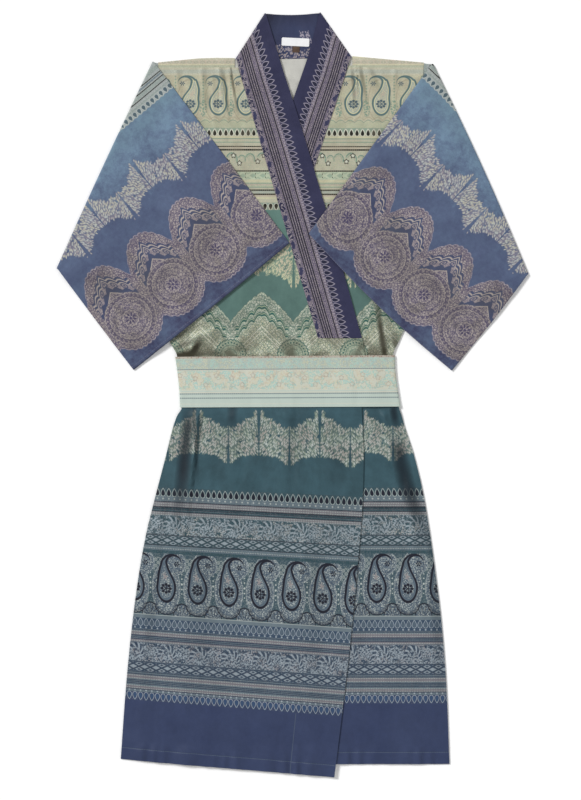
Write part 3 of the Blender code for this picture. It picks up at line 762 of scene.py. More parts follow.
def lay(name, rows, wall, outside, inside, flip=False, closed=False, keep=None, band_of=None):
    """Lays a grid of cloth on rows of points, each (x, y, z, along the print, up it), and thickens it.

    In a closed cloth the rows' ends join. keep says which faces stay, and band_of which print each has.
    """
    if flip:
        rows = [row[::-1] for row in rows]
    if closed:
        rows = [row + row[:1] for row in rows]
    bpy.ops.object.select_all(action="DESELECT")
    bpy.ops.mesh.primitive_grid_add(x_subdivisions=len(rows[0]) - 1, y_subdivisions=len(rows) - 1, size=1)
    cloth = bpy.context.object
    cloth.name = name
    mesh = cloth.data
    mesh.name = name
    points = [point for row in rows for point in row]
    mesh.vertices.foreach_set("co", [c * MM for point in points for c in point[:3]])
    mesh.uv_layers[0].name = "Print"
    prints = [points[loop.vertex_index][3:] for loop in mesh.loops]
    columns = len(rows[0]) - 1
    if closed:
        # The last column of points is the first one again, so its faces keep to the print before it
        for k, loop in enumerate(mesh.loops):
            if loop.vertex_index % (columns + 1) == columns:
                prints[k] = points[loop.vertex_index - 1][3:]
    mesh.uv_layers["Print"].data.foreach_set("uv", [c * MM for pair in prints for c in pair])
    for material in (*outside, inside):
        mesh.materials.append(material)
    if band_of:
        for face in mesh.polygons:
            row = face.index // columns
            face.material_index = band_of(rows[row][0][4], rows[row + 1][0][4])
    bpy.ops.object.mode_set(mode="EDIT")
    bpy.ops.mesh.select_all(action="DESELECT")
    bpy.ops.object.mode_set(mode="OBJECT")
    if keep:
        for face in mesh.polygons:
            i, j = divmod(face.index, columns)
            face.select = not keep(i, columns - 1 - j if flip else j)
        bpy.ops.object.mode_set(mode="EDIT")
        bpy.ops.mesh.delete(type="FACE")
        bpy.ops.object.mode_set(mode="OBJECT")
    if closed:
        bpy.ops.object.mode_set(mode="EDIT")
        bpy.ops.mesh.select_all(action="SELECT")
        bpy.ops.mesh.remove_doubles(threshold=WELD_GAP)
        bpy.ops.object.mode_set(mode="OBJECT")
    thickness = cloth.modifiers.new("Wall", "SOLIDIFY")
    thickness.thickness = wall * MM
    thickness.offset = 0
    thickness.material_offset = len(outside)
    bpy.ops.object.modifier_apply(modifier="Wall")
    bpy.ops.object.shade_smooth_by_angle(angle=SHARP_ANGLE)
    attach(cloth, "root")
    return cloth


# Materials


def arithmetic(operation, turned=False):
    """An operator for Value. Turned, it takes the plain number first."""

    def result(self, other):
        numbers = (other, self) if turned else (self, other)
        return self.paint.value("ShaderNodeMath", {"operation": operation}, numbers)

    return result


class Value:
    """A socket that arithmetic works on: each operation adds its Math node."""

    __add__ = __radd__ = arithmetic("ADD")
    __sub__ = arithmetic("SUBTRACT")
    __rsub__ = arithmetic("SUBTRACT", turned=True)
    __mul__ = __rmul__ = arithmetic("MULTIPLY")
    __truediv__ = arithmetic("DIVIDE")
    __pow__ = arithmetic("POWER")

    def __init__(self, paint, socket):
        self.paint = paint
        self.socket = socket

    def math(self, operation, *others):
        return self.paint.value("ShaderNodeMath", {"operation": operation}, (self, *others))

    def __abs__(self):
        return self.math("ABSOLUTE")

    def root(self):
        return self.math("SQRT")

    def larger(self, other):
        return self.math("MAXIMUM", other)

    def smaller(self, other):
        return self.math("MINIMUM", other)

    def sine(self, rate):
        return (self * rate).math("SINE")

    def lobes(self, width):
        """From 0 to 1 and back over each width, as a row of round lobes."""
        return abs(self.sine(math.pi / width))

    def repeat(self, period):
        """The distance from the nearest of marks that lie a period apart, the first at 0."""
        return self.math("WRAP", period / 2, -period / 2)

    def share(self, start, end, kind="LINEAR"):
        """How far the value is from start to end, from 0 to 1. SMOOTHSTEP sets out and ends softly."""
        return self.paint.value("ShaderNodeMapRange", {"interpolation_type": kind}, (self, start, end))

    def above(self, edge, blur=0.35):
        """1 where the value is over the edge and 0 where it is under, across a soft border."""
        return self.share(edge - blur, edge + blur)

    def below(self, edge, blur=0.35):
        return self.above(edge, -blur)

    def line(self, middle, half, blur=0.35):
        """1 on a line round the value middle, half as wide on each side."""
        return abs(self - middle).below(half, blur)


class Paint:
    """The nodes of one cloth's material, with the colour of its print so far.

    s and t are millimetres along and up the print.
    """

    def __init__(self, name):
        self.material = bpy.data.materials.new(name)
        self.material.use_nodes = True
        self.tree = self.material.node_tree
        self.shader = self.tree.nodes["Principled BSDF"]
        self.print = self.node("ShaderNodeUVMap", {"uv_map": "Print"}, ()).outputs[0]
        self.s, self.t = self.parts(self.print)
        self.colour = None

    def node(self, kind, settings, values):
        """Adds a node, sets it up, and feeds its sockets, by name or in order, with values or links."""
        node = self.tree.nodes.new(kind)
        for key, setting in settings.items():
            if key == "stops":
                elements = node.color_ramp.elements
                while len(elements) < len(setting):
                    elements.new(1)
                for element, (place, colour) in zip(elements, setting):
                    element.position = place
                    element.color = (*colour, 1)
                node.color_ramp.interpolation = "CONSTANT"
            else:
                setattr(node, key, setting)
        for key, value in values.items() if isinstance(values, dict) else enumerate(values):
            socket = node.inputs[key]
            if isinstance(value, Value):
                self.tree.links.new(value.socket, socket)
            elif isinstance(value, bpy.types.NodeSocket):
                self.tree.links.new(value, socket)
            elif socket.type == "RGBA":
                socket.default_value = (*value, 1)
            else:
                socket.default_value = value
        return node

    def value(self, kind, settings, values, output=0):
        return Value(self, self.node(kind, settings, values).outputs[output])

    def parts(self, vector):
        """The first two parts of a vector in metres, as millimetres."""
        node = self.node("ShaderNodeSeparateXYZ", {}, (vector,))
        return [Value(self, node.outputs[k]) / MM for k in (0, 1)]

    def place(self, x, y):
        """A vector in metres from two values in millimetres."""
        return self.node("ShaderNodeCombineXYZ", {}, (x * MM, y * MM)).outputs[0]

    def mix(self, factor, under, over):
        settings = {"data_type": "RGBA", "clamp_factor": True}
        return self.node("ShaderNodeMix", settings, {0: factor, 6: under, 7: over}).outputs[2]

    def stamp(self, mask, shade):
        """Prints a shade over the colour so far, where mask is 1."""
        self.colour = self.mix(mask, self.colour, shade)

    def noise(self, size, detail=2, rough=0.5, place=None):
        """Cloudy values from 0 to 1, with spots of about size millimetres."""
        values = {"Vector": place or self.print, "Scale": 1 / MM / size}
        values.update({"Detail": detail, "Roughness": rough})
        return self.value("ShaderNodeTexNoise", {"noise_dimensions": "2D"}, values)

    def net(self, size):
        """The distance from the nearest thread of an uneven net with meshes of about size, in mm."""
        settings = {"voronoi_dimensions": "2D", "feature": "DISTANCE_TO_EDGE"}
        values = {"Vector": self.print, "Scale": 1 / MM / size}
        return self.value("ShaderNodeTexVoronoi", settings, values, "Distance") * size

    def cells(self, size, place=None):
        """Scattered cells: the distance from the middle of each, its shade, and the place of that middle."""
        values = {"Vector": place or self.print, "Scale": 1 / MM / size}
        node = self.node("ShaderNodeTexVoronoi", {"voronoi_dimensions": "2D"}, values)
        shade = self.value("ShaderNodeSeparateColor", {}, (node.outputs["Color"],))
        return Value(self, node.outputs["Distance"]) * size, shade, self.parts(node.outputs["Position"])

    def scroll(self, size, half=0.03):
        """Fine curling lines, as of filigree."""
        return abs(self.noise(size, 1.5) - 0.5).below(half, 0.02)

    def ramp(self, *stops):
        """Stripes by height. stops are (height, colour), the first and last of them the ramp's ends."""
        low, high = stops[0][0], stops[-1][0]
        places = [((place - low) / (high - low), colour) for place, colour in stops]
        return self.node("ShaderNodeValToRGB", {"stops": places}, (self.t.share(low, high),)).outputs[0]

    def crease(self, band):
        """Paints shade into the colour along the creases that cross one band of the body's print."""
        dark = linear(SKIRT_CREASE_SHADE if band.top < SKIRT_SHADE_TOP else CHEST_CREASE_SHADE)
        for crease in CREASE_SHADES:
            if min(crease.t0, crease.t1) > band.top or max(crease.t0, crease.t1) < band.bottom:
                continue
            length = math.hypot(crease.s1 - crease.s0, crease.t1 - crease.t0)
            way_s, way_t = (crease.s1 - crease.s0) / length, (crease.t1 - crease.t0) / length
            s, t = self.s - crease.s0, self.t - crease.t0
            along = (s * way_s + t * way_t) / length
            across = (s * way_t - t * way_s) / crease.half_width
            ends = along.share(-0.05, 0.15) * along.share(1, 0.5)
            # Painted shade: mixes the colour towards the crease's dark shade, deepest on its middle line
            self.stamp(crease.depth * ends * (1 - across * across), dark)

    def finish(self, mottle, relief=None, roughness=0.5):
        """Mottles the colour a little, gives the cloth its weave, and sets how it shines."""
        cloud, speckle, thread = self.noise(46, 3, 0.6), self.noise(9, 4, 0.7), self.noise(THREADS, 1)
        shade = 0.98 + mottle * (cloud - 0.5) + mottle * 0.8 * (speckle - 0.5) + 0.1 * (thread - 0.5)
        grey = self.node("ShaderNodeCombineColor", {}, (shade, shade, shade)).outputs[0]
        settings = {"data_type": "RGBA", "blend_type": "MULTIPLY"}
        dyed = self.node("ShaderNodeMix", settings, {0: 1, 6: self.colour, 7: grey}).outputs[2]
        # Heights in metres: the weave, uneven cloth, threads and soft folds
        warp, weft = self.s.sine(math.tau / WEAVE), self.t.sine(math.tau / WEAVE)
        drape = self.noise(38, place=self.place(self.s, self.t * 0.35))
        height = 0.00003 * (warp * weft) + 0.0004 * cloud + 0.00006 * thread + 0.0045 * drape
        if relief:
            height = height + relief
        bump = self.node("ShaderNodeBump", {}, {"Strength": 0.6, "Distance": 1, "Height": height})
        self.tree.links.new(dyed, self.shader.inputs["Base Color"])
        self.tree.links.new((roughness + 0.12 * (cloud - 0.5)).socket, self.shader.inputs["Roughness"])
        self.tree.links.new(bump.outputs[0], self.shader.inputs["Normal"])
        for name, value in (("Sheen Weight", 0.06), ("Sheen Roughness", 0.4), ("Specular IOR Level", 0.15)):
            self.shader.inputs[name].default_value = value
        return self.material


def linear(code):
    """A colour written as six hexadecimal digits, as the amounts of light that shaders use."""
    shares = [int(code[k:k + 2], 16) / 255 for k in (0, 2, 4)]
    return tuple(c / 12.92 if c <= 0.04045 else ((c + 0.055) / 1.055) ** 2.4 for c in shares)


def polar(x, y):
    """The distance from the origin and the angle round it."""
    return (x * x + y * y).root(), y.math("ARCTAN2", x)


def oval(x, y, wide, high):
    """The square of the distance from the origin, in sizes of an oval whose edge is at 1."""
    return (x / wide) ** 2 + (y / high) ** 2


def drop(x, t, base, height, half):
    """Under 0 inside a drop that stands on base, with its point height above it."""
    v = t.share(base, base + height)
    return abs(x) - 2.6 * half * v.root() * (1 - v)


def drop_row(paint, line, gap, heart, base, height, period, thin=1):
    """A row of outlined drops, side by side, each with a smaller drop in it. thin scales its inset."""
    x, half, rise = paint.s.repeat(period), period * 0.43, math.copysign(1, height)
    row = paint.t.line(base + height / 2, abs(height) / 2, 0.2)
    layers = ((0, 0, 0, line), (0.7, 2.4 * thin, 0.9 * thin, gap), (1.6, 4.4, 1.5, heart))
    for inset, shorter, slimmer, shade in layers:
        shape = drop(x, paint.t, base + inset * rise, height - shorter * rise, half - slimmer)
        paint.stamp(shape.below(0) * row, shade)


def dots(paint, shade, levels, radius, period, s=None):
    """A row of dots at each level."""
    for level in levels:
        x, y = (s or paint.s).repeat(period), paint.t - level
        paint.stamp((x * x + y * y).below(radius * radius, radius * 0.5), shade)


def cords(paint, lines, shade):
    """Dark lines of short dashes, as printed cords. lines are (height, half the width)."""
    for middle, half in lines:
        dash = abs(paint.s.repeat(3.6)).below(1.45, 0.3) * 0.35 + 0.65
        paint.stamp(paint.t.line(middle, half, 0.3) * dash, shade)


def rosette(x, y, petals, reach, length, width):
    """A ring of petals round the origin of x and y, with a dot in the middle."""
    distance, turn = polar(x, y)
    turn = turn.repeat(math.tau / petals)
    along = (distance * turn.math("COSINE") - reach) / length
    across = distance * turn.math("SINE") / width
    return (along * along + across * across).below(1, 0.3).larger(distance.below(length * 0.7))


def lace(paint, dark, light, blush, size=2.7):
    """Fine needle lace: small light knots on a darker ground, some of them warmer."""
    distance, shade, _ = paint.cells(size)
    knots = distance.below(size * 0.34, size * 0.2) * (0.55 + 0.9 * (paint.noise(9) - 0.35))
    return paint.mix(knots * shade.above(0.68, 0.1) * 0.7, paint.mix(knots, dark, light), blush)


def netting(paint, thread, mesh, light, size):
    """Close needle lace: dark threads round lighter meshes, with specks in some of them."""
    distance, shade, _ = paint.cells(size * 0.5)
    colour = paint.mix(shade, mesh, paint.mix(0.5, mesh, light))
    colour = paint.mix(shade.above(0.66, 0.1) * distance.below(size * 0.2, size * 0.1), colour, light)
    colour = paint.mix(shade.below(0.3, 0.05) * distance.below(size * 0.15, size * 0.1), colour, thread)
    return paint.mix(paint.net(size).below(size * 0.08, size * 0.06), colour, thread)


def lattice(paint, line, dark, low, high, period, tall):
    """A net of lozenges on a dark ground: solid ones in the middle row, open ones above and below."""
    s, y = paint.s, paint.t - (low + high) / 2
    slant = y * (period / tall)
    strip = y.line(0, (high - low) / 2 - 0.4, 0.3)
    far = abs((s + slant).repeat(period)).larger(abs((s - slant).repeat(period))) / (period / 2)
    off_middle = (abs(s.repeat(period)) + abs(slant)).above(period / 2, 0.5)
    paint.stamp(strip, dark)
    paint.stamp(strip * far.below(0.68, 0.1), line)
    paint.stamp(strip * off_middle * far.below(0.36, 0.1), dark)


def foliage(paint, s, low, high, shades):
    """A strip packed with leaves, which fan out low in each repeat, under a dark fern bent over them."""
    ink, dark, leaf, light, warm = shades
    period, middle, swing = 54, (low + high) / 2, (high - low) / 2
    distance, shade, _ = paint.cells(2.9)
    strip = paint.t.line(middle, swing, 0.2)
    leaves = distance.below(1.3, 0.35) * paint.noise(6, 1).above(0.38, 0.06)
    tint = paint.mix(paint.noise(20).share(0.45, 0.6) * 0.5, paint.mix(shade, leaf, light), warm)
    paint.stamp(strip, dark)
    paint.stamp(strip * leaves, tint)
    x, y = (s - period * 0.66).repeat(period), paint.t - (middle - swing * 0.75)
    far = (x * x * 0.62 + y * y).root()
    rays = (y.math("ARCTAN2", x) * 17 + 2 * far.sine(0.9)).math("SINE").above(0, 0.5)
    fan = far.below(swing * 1.45, 0.8) * rays * far.above(swing * 0.3, 0.5)
    paint.stamp(strip * fan * 0.65, light)
    x, y = (s - period * 0.2).repeat(period), paint.t - (middle - swing * 0.5)
    arch = oval(x, y, period * 0.25, swing * 1.25).root()
    upper = y.above(0, 1.5)
    fern = strip * arch.line(0.96, 0.24, 0.08) * upper
    barbs = (y.math("ARCTAN2", x) * 13 - arch * 8).math("SINE").above(0.35, 0.3)
    paint.stamp(fern * 0.9, dark)
    paint.stamp(fern * barbs * 0.9, light)
    paint.stamp(strip * arch.line(0.72, 0.05, 0.05) * upper * 0.6, light)
    paint.stamp(strip * shade.below(0.3, 0.05) * distance.below(0.8, 0.3), ink)


def garland(paint, leaf, light, blush, first, period, upper, lower, peak, tip, steep=(4, 4)):
    """A band of leaf sprays, scattered along lines that fall away from each point of its upper edge.

    The upper edge has points, peak high, at first and every period on. The lower one has tips between them.
    """
    far = abs((paint.s - first).repeat(period))
    lean, stretch = 0.62, 0.45
    u, v = far * lean + paint.t, far - paint.t * lean
    distance, shade, (u0, v0) = paint.cells(2.7, paint.place(u * stretch, v))
    t0 = (u0 / stretch - v0 * lean) / (1 + lean * lean)
    share = (v0 + t0 * lean) / (period / 2)
    bump = 2.5 * abs(share.sine(11))
    top = upper + bump + peak * (1 - share).larger(0) ** steep[0]
    bottom = lower - bump - tip * share.larger(0) ** steep[1]
    inside = (top - t0).above(0, 0.5) * (t0 - bottom).above(0, 0.5)
    side = far / (period / 2) - 0.5
    flare = (side * (t0 - (upper + lower) / 2) * (-4 / (upper - lower))).larger(0)
    split = abs(side).below(0.465 - 0.022 * flare + 0.03 * paint.noise(4), 0.012)
    spray = inside * split * paint.noise(9).above(0.36, 0.05).larger(shade.above(0.5, 0.05))
    warm = paint.noise(26).share(0.4, 0.6)
    tint = paint.mix(shade, paint.mix(warm * 0.7, leaf, blush), paint.mix(warm * 0.35, light, blush))
    paint.stamp(spray * 0.4, leaf)
    paint.stamp(spray * distance.below(1.15, 0.3), tint)


def paisley(paint, x, base, shades, size, rim, wide, lean, slim):
    """A paisley on base that curls over to the right at its top, or to the left if wide is negative.

    It is about 80 units high, and a unit is size millimetres.
    """
    line_shade, rim_shade, second_shade, heart_shade, leaf_shade, bloom_shade = shades
    x, y = x / (size * wide), (paint.t - base) / size
    low = (27 - y).larger(0) / 27
    half = 15.8 - slim * y.share(24, 76, "SMOOTHSTEP")
    middle = x + lean * y.share(30, 58, "SMOOTHSTEP") - 3.5 * y.share(65, 75) ** 2
    around = ((middle / half) ** 2 + low * low).root()
    body = ((around - 1) * half * (1 + 0.5 * low)).larger(y - 73)
    hook_x, hook_y = x - 15.6 + lean, y - 65
    reach, turn = polar(hook_x, hook_y)
    left = (1 - (math.pi - turn) * (3 / math.tau / 2)).larger(0)
    hook = abs(reach - 11.8 - 3.7 * left * left) - 5.6 * left ** 1.8 + 0.3
    edge = body.smaller(hook) * size
    heart = edge.below(-rim - 2.6)
    paint.stamp(edge.below(0), line_shade)
    paint.stamp(edge.below(-rim), rim_shade)
    paint.stamp(edge.below(-rim - 1.4), second_shade)
    paint.stamp(heart, heart_shade)
    bloom = rosette(hook_x - 4.6, hook_y + 1, petals=6, reach=3.2, length=1.6, width=1.1)
    paint.stamp(bloom * edge.above(0.6), bloom_shade)
    sprig = rosette(middle, (y - 43) * 0.6, petals=5, reach=2.2, length=2, width=0.8)
    paint.stamp(sprig * heart * 0.6, leaf_shade)
    outer = rosette(x, y - 23.5, petals=8, reach=6.4, length=2.5, width=2.3)
    inner = rosette(x, y - 23.5, petals=5, reach=2.9, length=1.3, width=0.9)
    paint.stamp(outer.larger(inner) * heart, bloom_shade)


# Prints of the body, from shoulder to hem


def shoulder_print(paint, c, s, t):
    paint.colour = paint.ramp(
        (540, c.cream), (546, c.mist), (552.5, c.cream), (556, c.pistachio), (558.5, c.cream),
        (560, c.straw), (562.5, c.rose), (568.5, c.cream), (572, c.straw), (660, c.cream),
    )
    lozenges = abs(s.repeat(11)) / 5.5 + abs(t - 565.5) / 2.6
    paint.stamp(lozenges.line(0.75, 0.22, 0.1), c.moss)
    cords(paint, [(559.2, 0.5)], c.moss)
    paint.stamp(0.45, lace(paint, c.cream, c.white, c.rose))


def small_paisley_print(paint, c, s, t):
    period, base = 47.1, 473.7
    x, between = (s + 176).repeat(period), (s + 176 + period / 2).repeat(period)
    paint.colour = lace(paint, c.cream, c.straw, c.rose)
    paint.stamp(paint.noise(18).above(0.55, 0.1) * 0.3, c.pistachio)
    paint.stamp(paint.noise(26, 4, 0.65).above(0.5, 0.14) * 0.35, c.bark_light)
    bell = oval(between, t - base - 13, 6.5, 15)
    paint.stamp(bell.below(1, 0.1) * paint.cells(3.3)[0].below(1.35, 0.4) * 0.8, c.sage)
    beads = oval(between, t.repeat(5.2), 1.5, 1.6).below(1, 0.4) * t.above(base + 30, 1)
    paint.stamp(beads * 0.6, c.sage)
    ring = oval(x + 1, t - base - 26, 18.5, 34).root()
    petals = ring - 0.05 * abs(t.math("ARCTAN2", x).sine(9))
    paint.stamp(petals.line(1, 0.03, 0.03) * 0.5, c.bark_light)
    scallop = t - 462 - 4.5 * s.lobes(15.7)
    paint.stamp(scallop.line(0, 0.6, 0.4) * 0.8, c.sage)
    paint.stamp(scallop.line(5, 0.5, 0.4) * 0.6, c.bark_light)
    paint.stamp(scallop.below(-2, 0.6) * 0.35, c.pistachio)
    heart = netting(paint, c.mist, c.cream, c.straw, 3.4)
    shades = (paint.mix(0.3, c.iron, c.sage), c.straw, c.mist, heart, c.rose, c.iron)
    paisley(paint, x - 1.5, base, shades, size=0.86, rim=3, wide=-1.18, lean=6.8, slim=10.4)


def chest_border_print(paint, c, s, t):
    paint.colour = paint.ramp(
        (313, c.jade), (325.6, c.cream), (332, c.straw), (336, c.rose), (341, c.mist), (347, c.cream),
        (352, c.pistachio), (355, c.rose), (358, c.pistachio), (360.5, c.straw), (364.7, c.pale),
        (380.8, c.cream), (415, c.cream), (417.2, c.rose), (420, c.cream), (428, c.pistachio),
        (430, c.cream), (434, c.moss), (435.2, c.straw), (438.5, c.cream), (443.5, c.sage), (453.2, c.sage),
    )
    paint.stamp(0.4, netting(paint, c.mist, c.cream, c.straw, 3.6))
    cords(paint, ((340.2, 1.3), (347.2, 1.3), (379.8, 1.2), (415.8, 1.5), (421.4, 1)), c.ink)
    cords(paint, [(level, 0.45) for level in (352, 358, 428.5, 434.5)], c.sage)
    period, strip = 52, t.line(398, 15.5, 0.3)
    for first, swing in ((0, 9), (17, 6), (31, 8)):
        x, y = (s - first).repeat(period), t - 399
        curl = oval(x, y, swing, swing * 1.25).root()
        side = (y + 0.5 * x).above(0, 1.5)
        paint.stamp(strip * side * curl.line(1, 0.11, 0.06), c.sage)
        paint.stamp(strip * side * curl.line(0.7, 0.07, 0.05) * 0.7, c.moss)
    distance, shade, _ = paint.cells(3.4)
    sprig = t.line(398, 14.5, 0.5) * distance.below(1.1, 0.4) * shade.above(0.45, 0.1)
    paint.stamp(sprig * 0.55, c.pistachio)
    for first, level in ((3, 406), (-8, 396), (13, 393)):
        far, turn = polar((s - first).repeat(period), t - level)
        petals = far - 0.9 * turn.sine(5)
        paint.stamp(petals.below(4.1, 0.4), c.ink)
        paint.stamp(petals.below(2.3, 0.4), c.white)
    line = paint.mix(0.5, c.sage, c.pale)
    lattice(paint, line, c.pale, low=366, high=378, period=17, tall=12)
    dots(paint, c.ink, (374.8, 369.2), radius=1, period=17, s=s - 4.2)
    drop_row(paint, c.white, c.ink, c.ink, base=439, height=13.6, period=9.5, thin=1.3)
    drop_row(paint, c.white, c.ink, c.ink, base=325, height=-13, period=9.5)
    paint.stamp(paint.noise(34, 4, 0.6).above(0.56, 0.16) * 0.32, c.bark_light)


def chest_field_print(paint, c, s, t):
    period = 106
    paint.colour = paint.mix(t.share(310, 190), c.jade, paint.mix(paint.noise(50, 4, 0.6), c.jade, c.fern))
    garland(
        paint, c.pistachio, c.straw, c.rose, first=-52, period=period,
        upper=262, lower=206, peak=16, tip=30,
    )
    off_arch = abs((s + 53).repeat(period))
    share, wavy = off_arch / 53, 2.2 * s.lobes(8.83)
    depth = 170 - 47 * share ** 1.5 + 5 * (1 - share) ** 10 - t + wavy
    threads, mesh = paint.mix(0.3, c.sage, c.bark), paint.mix(0.5, c.moss, c.mist)
    paint.stamp(depth.above(1, 0.5), netting(paint, threads, mesh, c.white, 4.4))
    paint.stamp(depth.line(3.4, 0.6, 0.4) * 0.7, c.pale)
    leaf = oval((s - t * 0.3).repeat(8), (depth - 10).repeat(40), 2.4, 4.5)
    paint.stamp(leaf.line(1, 0.45, 0.3) * depth.line(10, 6, 0.5) * 0.5, c.spruce)
    hooked = share.below(0.86, 0.04)
    for level, half, deep in ((24, 3.5, 6.5), (36.5, 3, 6)):
        scallop = depth - wavy + deep * (s + 53).lobes(13.25) - deep / 2
        paint.stamp(hooked * scallop.line(level, half, 0.4), c.spruce)
        paint.stamp(hooked * scallop.line(level - 0.8, half * 0.3, 0.3) * 0.8, c.pistachio)
        paint.stamp(hooked * scallop.line(level + half + 1.4, 0.6, 0.3) * 0.8, c.pale)
    inner = depth.above(44, 0.6)
    threads = paint.mix(paint.noise(22, 3).share(0.4, 0.6), c.sage, paint.mix(0.5, c.sage, c.bark))
    paint.stamp(inner * 0.9, netting(paint, threads, paint.mix(0.3, c.straw, c.moss), c.white, 4.2))
    scales = abs((s + t * 0.9).repeat(8)).smaller(abs((s - t * 0.9).repeat(8)))
    paint.stamp(inner * scales.below(0.5, 0.5) * 0.5, c.iron)
    for level in (0, 8):
        paint.stamp(inner * (116 - off_arch - t).line(level, 0.8, 0.4), c.white)
    far, turn = polar(s.repeat(period), t - 67)
    rim = far - 1.8 * abs(turn.sine(13))
    paint.stamp(rim.below(25.5, 0.6), lace(paint, c.moss, c.pale, c.sand, 2.3))
    paint.stamp(rim.line(25, 0.8, 0.4), c.spruce)
    paint.stamp(far.line(21, 1.3, 0.4) * turn.sine(26).above(0.1, 0.4), c.spruce)
    for radius in (17, 10):
        paint.stamp(far.line(radius, 0.7, 0.4) * 0.6, c.spruce)
    paint.stamp(far.below(8, 0.6), c.moss)
    # Brown patches at random, with painted shade that deepens them towards the belt
    dusk = paint.noise(30, 4, 0.6).above(0.48, 0.12) * (0.3 + 0.45 * t.share(115, 70)) * depth.above(0, 1)
    paint.stamp(dusk, c.bark)


def skirt_field_print(paint, c, s, t):
    paint.colour = paint.mix(paint.noise(70, 4, 0.65).share(0.3, 0.7), c.petrol, c.teal)
    garland(
        paint, c.moss, c.shell, c.blush, first=-58, period=103.5,
        upper=-56, lower=-96, peak=31, tip=24, steep=(1.8, 4),
    )


def middle_border_print(paint, c, s, t):
    paint.colour = paint.ramp(
        (-268, c.petrol), (-262.5, c.slate), (-261, c.steel), (-260.2, c.slate), (-254.5, c.petrol),
        (-238.5, c.slate), (-203.5, c.ash), (-198, c.petrol), (-195, c.slate), (-193.5, c.petrol),
        (-190, c.ash), (-182, c.slate), (-171, c.petrol), (-156, c.petrol),
    )
    foliage(paint, s, low=-236.5, high=-204, shades=(c.night, c.petrol, c.slate, c.frost, c.sand))
    line, ground = paint.mix(0.25, c.frost, c.slate), paint.mix(0.3, c.petrol, c.night)
    lattice(paint, line, ground, low=-253, high=-238, period=19.4, tall=9.4)
    lines = ((-237, 0.8), (-254, 0.8), (-197.4, 0.7), (-193.6, 0.8), (-190.4, 1.3), (-181, 0.8))
    cords(paint, lines, c.night)
    dots(paint, c.shell, [-176], radius=1.4, period=9.6)
    dots(paint, c.shell, (-184.2, -187.6, -199.8, -202.6, -259.6), radius=0.8, period=2.9)
    paint.stamp(0.25, lace(paint, c.petrol, c.slate, c.blush))
    drop_row(paint, c.shell, c.petrol, c.night, base=-172.5, height=14.4, period=9.6, thin=0.75)


def large_paisley_print(paint, c, s, t):
    period, base = 53.2, -350.5
    x, between = (s + 215.5).repeat(period), (s + 215.5 + period / 2).repeat(period)
    halo_lace = netting(paint, c.steel, paint.mix(0.4, c.slate, c.steel), c.shell, 3.8)
    paint.colour = paint.mix(0.3, c.petrol, halo_lace)
    posy = (abs((between - 11).repeat(period)) + abs(t + 278) * 0.7).below(18, 1) * t.below(-274.5, 0.5)
    for shift in (0, 1):
        x0, y0 = (between + 4.4 * shift).repeat(8.8), (t + 278.5 + 5.2 * shift).repeat(10.4)
        ring = (x0 * x0 + y0 * y0).root()
        paint.stamp(posy * ring.line(2.2, 0.6, 0.4) * 0.6, c.shell)
        paint.stamp(posy * ring.below(0.8, 0.4) * 0.6, c.shell)
    belly = oval(x, t - base - 25, 23, 41).root() * 23
    top = oval((x - 12.5).repeat(period), t - base - 67, 1, 1).root() + 3
    halo = belly.smaller(top)
    paint.stamp(halo.below(24.5, 0.6), halo_lace)
    paint.stamp((halo - 0.7 * abs(t.sine(0.9))).line(23, 0.5, 0.4) * 0.4, c.shell)
    paint.stamp(halo.line(19.5, 0.4, 0.3) * 0.5, c.night)
    for level, size in ((-318, 1.7), (-326.5, 1.2), (-309, 1.2), (-334, 1), (-301.5, 1)):
        dots(paint, c.shell, [level], radius=size, period=ONCE, s=between)
    fan = oval(between, t + 373, 14, 22).root()
    rays = (t + 374).math("ARCTAN2", between).sine(15).above(0.2, 0.5)
    paint.stamp(fan.below(1, 0.04), halo_lace)
    paint.stamp(fan.below(0.9, 0.04) * rays * 0.5, c.night)
    paint.stamp(fan.line(1, 0.05, 0.03), c.night)
    bowl = oval(x, t + 352, 19, 17.5).root() - 0.03 * abs(x.sine(0.6))
    low = t.below(-352, 0.5)
    paint.stamp(low * bowl.below(1, 0.04) * belly.above(16, 1), halo_lace)
    paint.stamp(low * bowl.line(1, 0.05, 0.03), c.night)
    for level, dark in ((0.88, 0.7), (0.76, 0.6)):
        paint.stamp(low * bowl.line(level, 0.035, 0.03) * dark * belly.above(17, 1), c.night)
    paint.stamp(t.below(-371.5, 0.4), c.slate)
    paint.stamp(t.line(-372, 0.5, 0.3) * 0.7, c.shell)
    rim, second, mesh = (paint.mix(share, c.slate, c.steel) for share in (0.3, 0.6, 0.15))
    shades = (c.night, rim, second, netting(paint, c.steel, mesh, c.shell, 3.4), c.blush, c.night)
    paisley(paint, x, base, shades, size=1.03, rim=3.6, wide=1.05, lean=3.6, slim=11.5)


